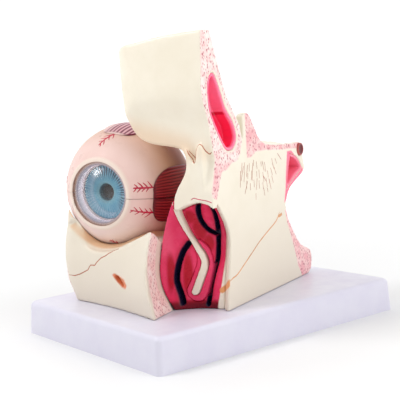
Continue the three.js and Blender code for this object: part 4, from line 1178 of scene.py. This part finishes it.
rim_radius = cornea_seat_radius + rim_width
rim_front = math.sqrt(eye_radius ** 2 - rim_radius ** 2) + rim_proud
cornea_seat = rim_front - cornea_flange - gap
opening_radius = cornea_seat_radius - 2 * MM
sclera_inside = eye_radius - sclera_wall
iris_thickness = 1.5 * MM
iris_ahead = rim_front - 10 * MM
choroid_front = iris_ahead + iris_thickness / 2 + gap
sleeve_back = choroid_front + 2 * gap
sleeve_radius = opening_radius + sleeve_wall
sclera_profile = [
    (opening_radius, sleeve_back), (opening_radius, cornea_seat), (cornea_seat_radius, cornea_seat),
    (cornea_seat_radius, rim_front - 0.3 * MM), (cornea_seat_radius + 0.3 * MM, rim_front),
    (rim_radius - 0.5 * MM, rim_front), (rim_radius + 0.2 * MM, rim_front - 0.25 * MM),
    (rim_radius + 0.8 * MM, rim_front - rim_proud),
    *arc(eye_radius, math.asin(rim_radius / eye_radius) + 0.05, math.pi, 72),
    *arc(sclera_inside, math.pi, math.asin(sleeve_radius / sclera_inside), 44), (sleeve_radius, sleeve_back),
]


def nerve_bore():
    """The straight hole that the optic nerve is glued in, as rings."""
    ends = (-eye_radius - 5 * MM, -eye_radius + sclera_wall + 3 * MM)
    return [[eye_centre + forward * ahead
             + (medial * math.cos(a) + upward * math.sin(a)) * (nerve_radius + gap) for a in circle(64)]
            for ahead in ends]


def seam_peg(degrees):
    """A peg that stands in the lower rim and goes up into the upper half, as rings."""
    middle = eye_radius - sclera_wall / 2
    a = math.radians(degrees)
    across, behind = middle * math.cos(a), middle * math.sin(a)
    foot = eye_centre + medial * across - forward * behind
    seam = foot.z - seam_drop - across * math.tan(seam_tilt)
    profile = [(peg_radius, seam - peg_depth), (peg_radius, seam + peg_height),
               (0.6 * peg_radius, seam + peg_height + peg_tip)]
    return turned_rings(foot.x, foot.y, profile, 16)


def sclera_half(name, upper):
    work = eye_turned(sclera_profile)
    half_of(work, upper)
    if not upper:
        for degrees in peg_places:
            skin(work, seam_peg(degrees))
    half = mesh_object(name, work, 40)
    bolt(half, nerve_bore(), "DIFFERENCE")
    shaded(half.data, 40)
    points = positions(half)
    polar, around, distance = eye_axes(points)
    radius, ahead = reach_along(points, eye_centre, gaze)
    outside = rise(distance, sclera_inside + MM, eye_radius - 0.5 * MM)
    front = rise(ahead, sleeve_back - MM, sleeve_back)
    seat = front * (1 - rise(radius, cornea_seat_radius + 0.1 * MM, cornea_seat_radius + 0.3 * MM))
    ledge = seat * rise(ahead, cornea_seat - 0.2 * MM, cornea_seat)
    inner_ledge = 1 - rise(radius, cornea_seat_radius - 1.2 * MM, cornea_seat_radius - 0.6 * MM)
    sides, ups = np.cos(np.radians(around)), np.sin(np.radians(around))
    # Painted shade over the tan: it deepens toward the back, most toward the nose and under the brow, and a
    # little on the underside.
    shade = polar + 12 * np.maximum(0, -ups) + 16 * np.maximum(0, ups) * np.maximum(0, sides)
    masks = {
        "rim_cream": front * (1 - rise(radius, rim_radius + 0.3 * MM, rim_radius + 1.6 * MM)),
        # The tan thins on the underside: painted light reflected from the lavender base.
        "back_tan": outside * rise(polar, 42, 88) * (1 - 0.35 * rise(-ups, 0.2, 0.9)),
        "tan_and_painted_shade": outside * rise(shade, 73, 103) * (1 - 0.55 * rise(polar, 100, 130))
        * (0.4 + 0.6 * rise(sides, -0.2, 0.5)),
        "inside": np.maximum(1 - outside, seat),
        # Where the sleeve glows with painted light.
        "painted_sleeve_glow": seat * (1 - ledge),
        "seat_shadow": ledge * inner_ledge,
        "seat_line": ledge * rise(radius, cornea_seat_radius - 0.3 * MM, cornea_seat_radius),
        # Painted reflected light: the underside is paler and lilac.
        "lilac_painted_bounce": outside * rise(-ups * np.sin(np.radians(polar)), 0.1, 0.8),
    }
    for mask, values in masks.items():
        mark(half, mask, values)
    return half


sclera_paint = painted(
    "sclera_paint", (236, 206, 198), (232, 199, 191), {
        # Painted light on the underside, reflected from the lavender base.
        "lilac_painted_bounce": (240, 218, 212),
        "back_tan": (206, 158, 126),
        "tan_and_painted_shade": (126, 62, 36),
        "rim_cream": (237, 219, 206),
        "inside": (255, 244, 246),
        # Tan paint, darkened into painted shade.
        "seat_shadow": (176, 158, 176),
        "seat_line": (170, 128, 104),
    }, specular=0.18, roughness=0.33, spread=0.12, bump=0.04, pebble=0.3)
tree = sclera_paint.node_tree
# Painted light: the sleeve glows faintly, for the light that the clear cornea lets in.
sleeve_glow = blended(tree, painted_mask(tree, "painted_sleeve_glow"), (0, 0, 0, 1), painted_sleeve_glow)
wire(tree, tree.nodes["Principled BSDF"], {"Emission Color": sleeve_glow, "Emission Strength": 1.0})
for name, upper, body in (("sclera_lower", False, "eyeball"), ("sclera_upper", True, "sclera_cap")):
    dress(sclera_half(name + "_shell", upper), body, "sclera", name, paint=sclera_paint)

# Choroid shells: the second coat, moulded in two halves in brown red plastic. The flat front wall,
# painted pinkish white, stands for the ciliary body and has the ledge that the iris sits on. The
# inside is painted a dark orange brown for the retina, darker than its own colour as painted shade
# inside the closed eyeball.
iris_radius = 17.6 * MM
iris_ledge = 1.6 * MM
choroid_front_wall = 2.6 * MM
choroid_outside = sclera_inside - shell_gap
choroid_inside = choroid_outside - choroid_wall
iris_seat = iris_ahead - iris_thickness / 2 - gap
choroid_opening = iris_radius - iris_ledge
wall_back = choroid_front - choroid_front_wall


def at_distance(radius, ahead):
    """The angle from the front at which a circle about the eye's middle passes a plane."""
    return math.acos(ahead / radius)


choroid_profile = [
    (choroid_opening, wall_back), (choroid_opening, iris_seat), (iris_radius + gap, iris_seat),
    (iris_radius + gap, choroid_front),
    *arc(choroid_outside, at_distance(choroid_outside, choroid_front), math.pi, 60),
    *arc(choroid_inside, math.pi, at_distance(choroid_inside, wall_back), 50),
]


def choroid_half(name, upper):
    work = eye_turned(choroid_profile, 128)
    half_of(work, upper)
    half = mesh_object(name, work, 40)
    points = positions(half)
    distance = eye_axes(points)[2]
    ahead = reach_along(points, eye_centre, gaze)[1]
    wall = rise(ahead, wall_back + 0.6 * MM, wall_back + 1.2 * MM) * (distance < choroid_outside - 0.1 * MM)
    mark(half, "ciliary", wall)
    mark(half, "retina", (1 - wall) * (distance < choroid_inside + 0.4 * MM))
    return half


choroid_paint = painted(
    "choroid_paint", (118, 44, 40), (92, 30, 30), {
        # The retina, painted darker as shade inside the eyeball.
        "retina": (104, 38, 26),
        "ciliary": (226, 204, 204),
    }, roughness=0.42, spread=0.15, bump=0.12)
for name, upper, body in (("choroid_lower", False, "choroid_bowl"), ("choroid_upper", True, "choroid_cap")):
    dress(choroid_half(name + "_shell", upper), body, "choroid", name, paint=choroid_paint)

# Vitreous body: a ball of clear cast acrylic with a flat front and a hollow that the lens lies in.
# The lens is a loose clear disc, fuller behind than in front.
vitreous_radius = choroid_inside - shell_gap
lens_radius = 14.2 * MM
lens_edge = 0.8 * MM
lens_front = 4 * MM
lens_back = 7.4 * MM
lens_middle = iris_ahead - iris_thickness / 2 - lens_front - lens_edge - gap - 0.4 * MM
vitreous_flat = iris_ahead - iris_thickness / 2 - gap - iris_ledge
clear_ior = 1.35


def lens_side(bulge, ahead, sign, clearance=0.0, steps=24):
    radius = lens_radius + clearance
    return [(radius * k, ahead + sign * (bulge + clearance) * (1 - k * k)) for k in np.linspace(0, 1, steps)]


lens_profile = lens_side(lens_back, lens_middle - lens_edge, -1)
lens_profile += lens_side(lens_front, lens_middle + lens_edge, 1)[::-1]
vitreous_profile = [
    *lens_side(lens_back, lens_middle - lens_edge, -1, gap), (lens_radius + gap, vitreous_flat),
    *arc(vitreous_radius, at_distance(vitreous_radius, vitreous_flat), math.pi, 50),
]


def clear_plastic(name, tint, roughness, specular=0.5, solid=1.0, gloss_ior=1.5, gloss_spread=0.03):
    """Clear plastic. Thin walls let part of the light straight through and keep a strong gloss."""
    material, tree, shader = new_material(name)
    patch = group_node(tree, moulded_skin).outputs["Gloss Patch"]
    wire(tree, shader, {
        "Base Color": tint,
        "Roughness": math_node(tree, "MULTIPLY_ADD", patch, roughness, roughness / 2),
        "Transmission Weight": 1.0,
        "IOR": clear_ior,
        "Specular IOR Level": specular,
        "Alpha": solid,
        "Coat Weight": float(solid < 1),
        "Coat IOR": gloss_ior,
        "Coat Roughness": gloss_spread,
    })
    return material


acrylic = clear_plastic("clear_acrylic", linear(246, 236, 236), 0.05, specular=0.2)
for name, profile, body in (("vitreous_body", vitreous_profile, "vitreous"), ("lens", lens_profile, "lens")):
    clear = mesh_object(name + "_acrylic", eye_turned(profile, 128), 40)
    dress(clear, body, body, name, paint=acrylic)

# Iris: a thin moulded disc that rises toward the pupil, painted teal with dark spokes, a dark outer
# ring and a lighter collar round the pupil. The pupil is a real hole.
pupil_radius = 5.6 * MM
iris_cone = 0.5 * MM
fibre_depth = 0.25 * MM
iris_spokes = 46.0


def build_iris():
    front = iris_ahead + iris_thickness / 2
    rear = iris_ahead - iris_thickness / 2
    reach = iris_radius - pupil_radius
    profile = [(pupil_radius, rear + 0.4 * MM), (pupil_radius, front + iris_cone - 0.5 * MM)]
    for radius in np.linspace(pupil_radius + 0.5 * MM, iris_radius - 0.4 * MM, 26):
        profile.append((radius, front + iris_cone * (1 - ((radius - pupil_radius) / reach)) ** 1.3))
    profile += [(iris_radius, front - 0.4 * MM), (iris_radius, rear)]
    iris = mesh_object("iris_disc", eye_turned(profile, 240), 50)
    points = positions(iris)
    away = points - np.array(eye_centre)
    radius, ahead = reach_along(points, eye_centre, gaze)
    around = np.arctan2(away @ np.array(gaze_up), away @ np.array(gaze_side))
    on_face = (radius > pupil_radius + 0.6 * MM) & (radius < iris_radius - 0.5 * MM)
    on_face &= ahead > front - 0.1 * MM
    fibres = np.array([noise.noise(Vector((math.cos(a) * 9, math.sin(a) * 9, r * 90)))
                       for a, r in zip(around, radius)])
    move_points(iris, points + np.outer(on_face * np.minimum(fibres, 0) * fibre_depth, np.array(gaze)))
    mark(iris, "spread", (radius - pupil_radius) / reach)
    return iris


def iris_material():
    material, tree, shader = new_material("iris_paint")
    shifted = put(tree, "ShaderNodeVectorMath", {0: object_place(tree), 1: tuple(eye_centre)},
                  operation="SUBTRACT").outputs[0]
    across = measured(tree, shifted, "DOT_PRODUCT", tuple(gaze_side))
    height = measured(tree, shifted, "DOT_PRODUCT", tuple(gaze_up))
    squares = math_node(tree, "MULTIPLY_ADD", across, across, math_node(tree, "MULTIPLY", height, height))
    radius = math_node(tree, "SQRT", squares)
    spoke = put(tree, "ShaderNodeCombineXYZ", {
        "X": math_node(tree, "DIVIDE", across, radius),
        "Y": math_node(tree, "DIVIDE", height, radius),
        "Z": math_node(tree, "MULTIPLY", radius, 18.0),
    }).outputs[0]
    spread = painted_mask(tree, "spread")
    turn = math_node(tree, "ARCTAN2", height, across)
    sway = math_node(tree, "MULTIPLY", noise_at(tree, spoke, 7.0, 2.0, 0.55), 5.0)
    wave = math_node(tree, "SINE", math_node(tree, "MULTIPLY_ADD", turn, iris_spokes, sway))
    fine = ramp(tree, wave, -0.4, 0.3)
    broad = ramp(tree, noise_at(tree, spoke, 5.0, 2.0), 0.42, 0.62)
    colour = blended(tree, broad, linear(66, 144, 176), linear(94, 162, 188))
    colour = blended(tree, ramp(tree, spread, 0.35, 0.0), colour, linear(118, 168, 182))
    toward = math_node(tree, "DIVIDE", math_node(tree, "ADD", across, height), radius)
    upper_side = math_node(tree, "MULTIPLY_ADD", ramp(tree, toward, -0.5, 0.8), 0.9, 0.1)
    streak = math_node(tree, "MULTIPLY", fine, ramp(tree, spread, 0.25, 0.6))
    colour = blended(tree, math_node(tree, "MULTIPLY", streak, upper_side), colour, linear(10, 26, 42))
    light = math_node(tree, "MULTIPLY", ramp(tree, wave, -0.3, -0.9), ramp(tree, spread, 0.1, 0.5))
    colour = blended(tree, math_node(tree, "MULTIPLY", light, 0.35), colour, linear(186, 212, 220))
    colour = blended(tree, ramp(tree, spread, 0.93, 1.0), colour, linear(60, 96, 118))
    colour = blended(tree, ramp(tree, spread, 0.03, -0.02), colour, linear(30, 34, 44))
    surface(tree, shader, roughness=0.35, bump=0.1)
    feed(tree, shader.inputs["Base Color"], colour)
    return material


dress(build_iris(), "iris", "iris", "iris", paint=iris_material())

# Cornea: a clear dome pressed from thin plastic, with a flange that seats in the rim of the sclera.
cornea_dome = 26 * MM
cornea_wall = 1.4 * MM
flange_radius = cornea_seat_radius - gap / 5
dome_reach = flange_radius - 1.4 * MM


def build_cornea():
    seat = cornea_seat + gap
    front = seat + cornea_flange
    centre = front - math.sqrt(cornea_dome ** 2 - dome_reach ** 2)

    def dome(radius, reach, steps=30):
        turn = math.asin(reach / radius)
        return [(radius * math.sin(a), centre + radius * math.cos(a)) for a in np.linspace(0, turn, steps)]

    foot = dome_reach - cornea_wall - 0.4 * MM
    outer = dome(cornea_dome, dome_reach)
    inner = dome(cornea_dome - cornea_wall, foot)
    edge = [(flange_radius - 0.3 * MM, front), (flange_radius, front - 0.3 * MM), (flange_radius, seat),
            (foot, seat)]
    return mesh_object("cornea_dome", eye_turned(outer + edge + inner[::-1], 128), 30)


cornea_plastic = clear_plastic("cornea_plastic", (1, 1, 1, 1), 0.04,
                               solid=0.2, gloss_ior=2.2, gloss_spread=0.28)
dress(build_cornea(), "cornea", "cornea", "cornea", paint=cornea_plastic)

# Rectus muscles: short pads moulded on the sclera where each muscle is cut, in dark red with many
# fine ridges that run back along the fibres. The side ones are split along the seam, and the upper
# and lower ones are thin and paler on their ridges.
pad_end = 112
short_corner = 13
long_corner = 26
seam_rounding = 1.8 * MM
pad_rows = 48
pad_columns = 200
pad_foot_columns = 12


def muscle_pad(name, middle, start, half_width, ridge_count, thickness, half=None):
    """A ridged pad, by its middle in degrees round the eye, its start behind the front and its half."""
    up_side = 0 if half is None else math.cos(math.radians(middle))
    inside = eye_radius + gap
    outside = inside + thickness
    groove = 0.24 * thickness

    def pad_width(polar, k):
        """Half width in degrees round the eye. The front corners are rounded over some degrees."""
        corner = long_corner if k * up_side > 0 else short_corner
        share = min(1, (polar - start) / corner + 0.02)
        return half_width * (1 - (1 - share) ** 2.2) ** 0.38

    rings = []
    for row in range(pad_rows + 1):
        share = (row / pad_rows) ** 1.35
        polar = start + (pad_end - start) * share
        shoulder = min(1, share * 20, (1 - share) * 16) ** 0.5
        top, bottom = [], []
        for column in range(pad_columns + 1):
            k = column / pad_columns * 2 - 1
            width = pad_width(polar, k)
            edge = min(1, (1 - abs(k)) * 12) ** 0.5
            if half is not None:
                to_seam = abs((eye_point(outside, polar, middle + k * width) - seam_place).dot(seam_normal))
                edge = min(edge, (0.12 + to_seam / seam_rounding) ** 0.5)
            wander = 0.8 * noise.noise(Vector((k * 5, share * 4, middle)))
            fibre = k * width / half_width
            ridge = 0.5 - 0.5 * math.cos(math.pi * (fibre + 1) * ridge_count + wander)
            height = inside + (thickness - groove * (1 - ridge)) * (0.4 + 0.6 * edge * shoulder)
            top.append(eye_point(min(height, outside), polar, middle + k * width))
        for column in range(pad_foot_columns, -1, -1):
            k = column / pad_foot_columns * 2 - 1
            bottom.append(eye_point(inside, polar, middle + k * pad_width(polar, k)))
        rings.append(top + bottom)
    work = bmesh.new()
    skin(work, rings)
    bmesh.ops.triangulate(work, faces=[f for f in work.faces if len(f.verts) > 4])
    if half is not None:
        half_of(work, half)
    pad = mesh_object(name + "_fibres", work, 60)
    polar, around, distance = eye_axes(positions(pad))
    mark(pad, "crest", rise(distance, outside - groove, outside - 0.1 * groove))
    mark(pad, "pale", float(half is None))
    mark(pad, "worn", (half is None) * np.maximum(rise(around, 88, 101), 1 - rise(polar, start, start + 3)))
    return pad


muscle_red, tree, shader = new_material("muscle_red")
surface(tree, shader, roughness=0.4, spread=0.2, bump=0.2)
crest = painted_mask(tree, "crest")
dark_pad = blended(tree, crest, linear(104, 16, 26), linear(160, 46, 50))
pale_pad = blended(tree, crest, linear(118, 40, 62), linear(216, 168, 174))
colour = blended(tree, painted_mask(tree, "pale"), dark_pad, pale_pad)
colour = layered(tree, colour, {"worn": (236, 206, 200)})
wire(tree, shader, {"Base Color": colour, "Specular IOR Level": 0.3})

# Half width in degrees round the eye, number of ridges and thickness of the two kinds of pad.
side_pad = (25.5, 19, 1.4 * MM)
top_pad = (19, 9, 0.8 * MM)
pads = [
    ("medial_rectus_upper", -6, 56, side_pad, True, "sclera_cap"),
    ("medial_rectus_lower", -6, 56, side_pad, False, "eyeball"),
    ("lateral_rectus_upper", 174, 68, side_pad, True, "sclera_cap"),
    ("lateral_rectus_lower", 174, 68, side_pad, False, "eyeball"),
    ("superior_rectus", 82, 61.5, top_pad, None, "sclera_cap"),
    ("inferior_rectus", -92, 61.5, top_pad, None, "eyeball"),
]
for name, middle, start, build, half, body in pads:
    dress(muscle_pad(name, middle, start, *build, half), body, "muscle", name, paint=muscle_red)

# Vessels on the sclera: red enamel, laid on by hand as a stem with short side twigs in front of
# each muscle. They are low beads, sunk in the surface that they follow.
vessel_draw = np.random.default_rng(11)
twig_width = 0.62
twig_tip = 0.16
twig_aside = 0.85


def eye_stroke(start, end, wide, narrow, bend=0.0, steps=9):
    """A tapered stroke over the sclera between two (angle from front, angle round) places."""
    stroke = []
    for i in range(steps):
        share = i / (steps - 1)
        polar = start[0] + (end[0] - start[0]) * share
        around = start[1] + (end[1] - start[1]) * share + bend * math.sin(math.pi * share)
        normal = (eye_point(1, polar, around) - eye_centre).normalized()
        stroke.append((eye_centre + normal * eye_radius, normal, (wide + (narrow - wide) * share) * MM))
    return stroke


def vessel(start, end, twigs=5, wide=0.8, reach=5.4):
    """A stem and its twigs: they leave by turns on both sides and lean toward the stem's tip."""
    strokes = [eye_stroke(start, end, wide, wide * 0.4, vessel_draw.uniform(-0.6, 0.6))]
    way = Vector((end[0] - start[0], (end[1] - start[1]) * math.sin(math.radians((start[0] + end[0]) / 2))))
    way.normalize()
    aside = Vector((-way.y, way.x))
    for i in range(2 * twigs):
        share = 0.12 + 0.76 * i / (2 * twigs - 1) + vessel_draw.uniform(-0.04, 0.04)
        foot = [start[k] + (end[k] - start[k]) * share for k in (0, 1)]
        length = (reach - 0.45 * reach * share) * vessel_draw.uniform(0.75, 1.2)
        side = twig_aside if i % 2 else -twig_aside
        step = (way * vessel_draw.uniform(0.6, 0.9) + aside * side) * length
        tip = (foot[0] + step.x, foot[1] + step.y / math.sin(math.radians(foot[0])))
        bend = vessel_draw.uniform(-0.5, 0.5)
        strokes.append(eye_stroke(foot, tip, wide * twig_width, twig_tip, bend, 5))
    return strokes


vessel_red = enamel("vessel_red", 204, 32, 66)
upper_vessels = vessel((58, 3.8), (38.6, 6.4), 4, 1.1, 7) + vessel((66.5, 79), (46, 93), 4, 1.1, 8)
upper_vessels += vessel((69, 170), (48, 166))
lower_vessels = vessel((61, -22.4), (37.6, -25.4), 4, 0.8, 6.4) + vessel((66, -76), (49.5, -88), 4, 1.0, 6)
lower_vessels += vessel((69, 190), (48, 194))
dress(bead_lines("vessels_upper", upper_vessels, vessel_red), "sclera_cap", "sclera")
dress(bead_lines("vessels_lower", lower_vessels, vessel_red), "eyeball", "sclera")

# Optic nerve: a yellow stub at the back of the eyeball, glued in the lower half. Its cut end shows
# the sheath as a ring and the artery as a red spot.
nerve_length = 15 * MM


def build_nerve():
    start = sclera_wall - eye_radius
    end = start - nerve_length - sclera_wall
    profile = [
        (0, start), (nerve_radius, start), (nerve_radius, start - 4 * MM),
        (nerve_radius - 0.4 * MM, end + 8 * MM), (nerve_radius - 0.5 * MM, end + 0.6 * MM),
        (nerve_radius - 0.9 * MM, end + 0.1 * MM), (nerve_radius - 1.5 * MM, end + 0.1 * MM),
        (nerve_radius - 1.8 * MM, end + 0.6 * MM), (1.4 * MM, end + 0.6 * MM), (1.1 * MM, end),
        (0.6 * MM, end), (0, end + 0.4 * MM),
    ]
    nerve = mesh_object("optic_nerve_stub", eye_turned(profile, 64, (forward, medial, upward)), 40)
    radius, ahead = reach_along(positions(nerve), eye_centre, forward)
    mark(nerve, "artery", (radius < 1.5 * MM) * (ahead < end + 2 * MM))
    return nerve


nerve_paint = painted("nerve_yellow", (232, 206, 128), (216, 184, 104), {"artery": (190, 40, 44)},
                      roughness=0.45, bump=0.3)
dress(build_nerve(), "eyeball", "nerve", "optic_nerve", paint=nerve_paint)
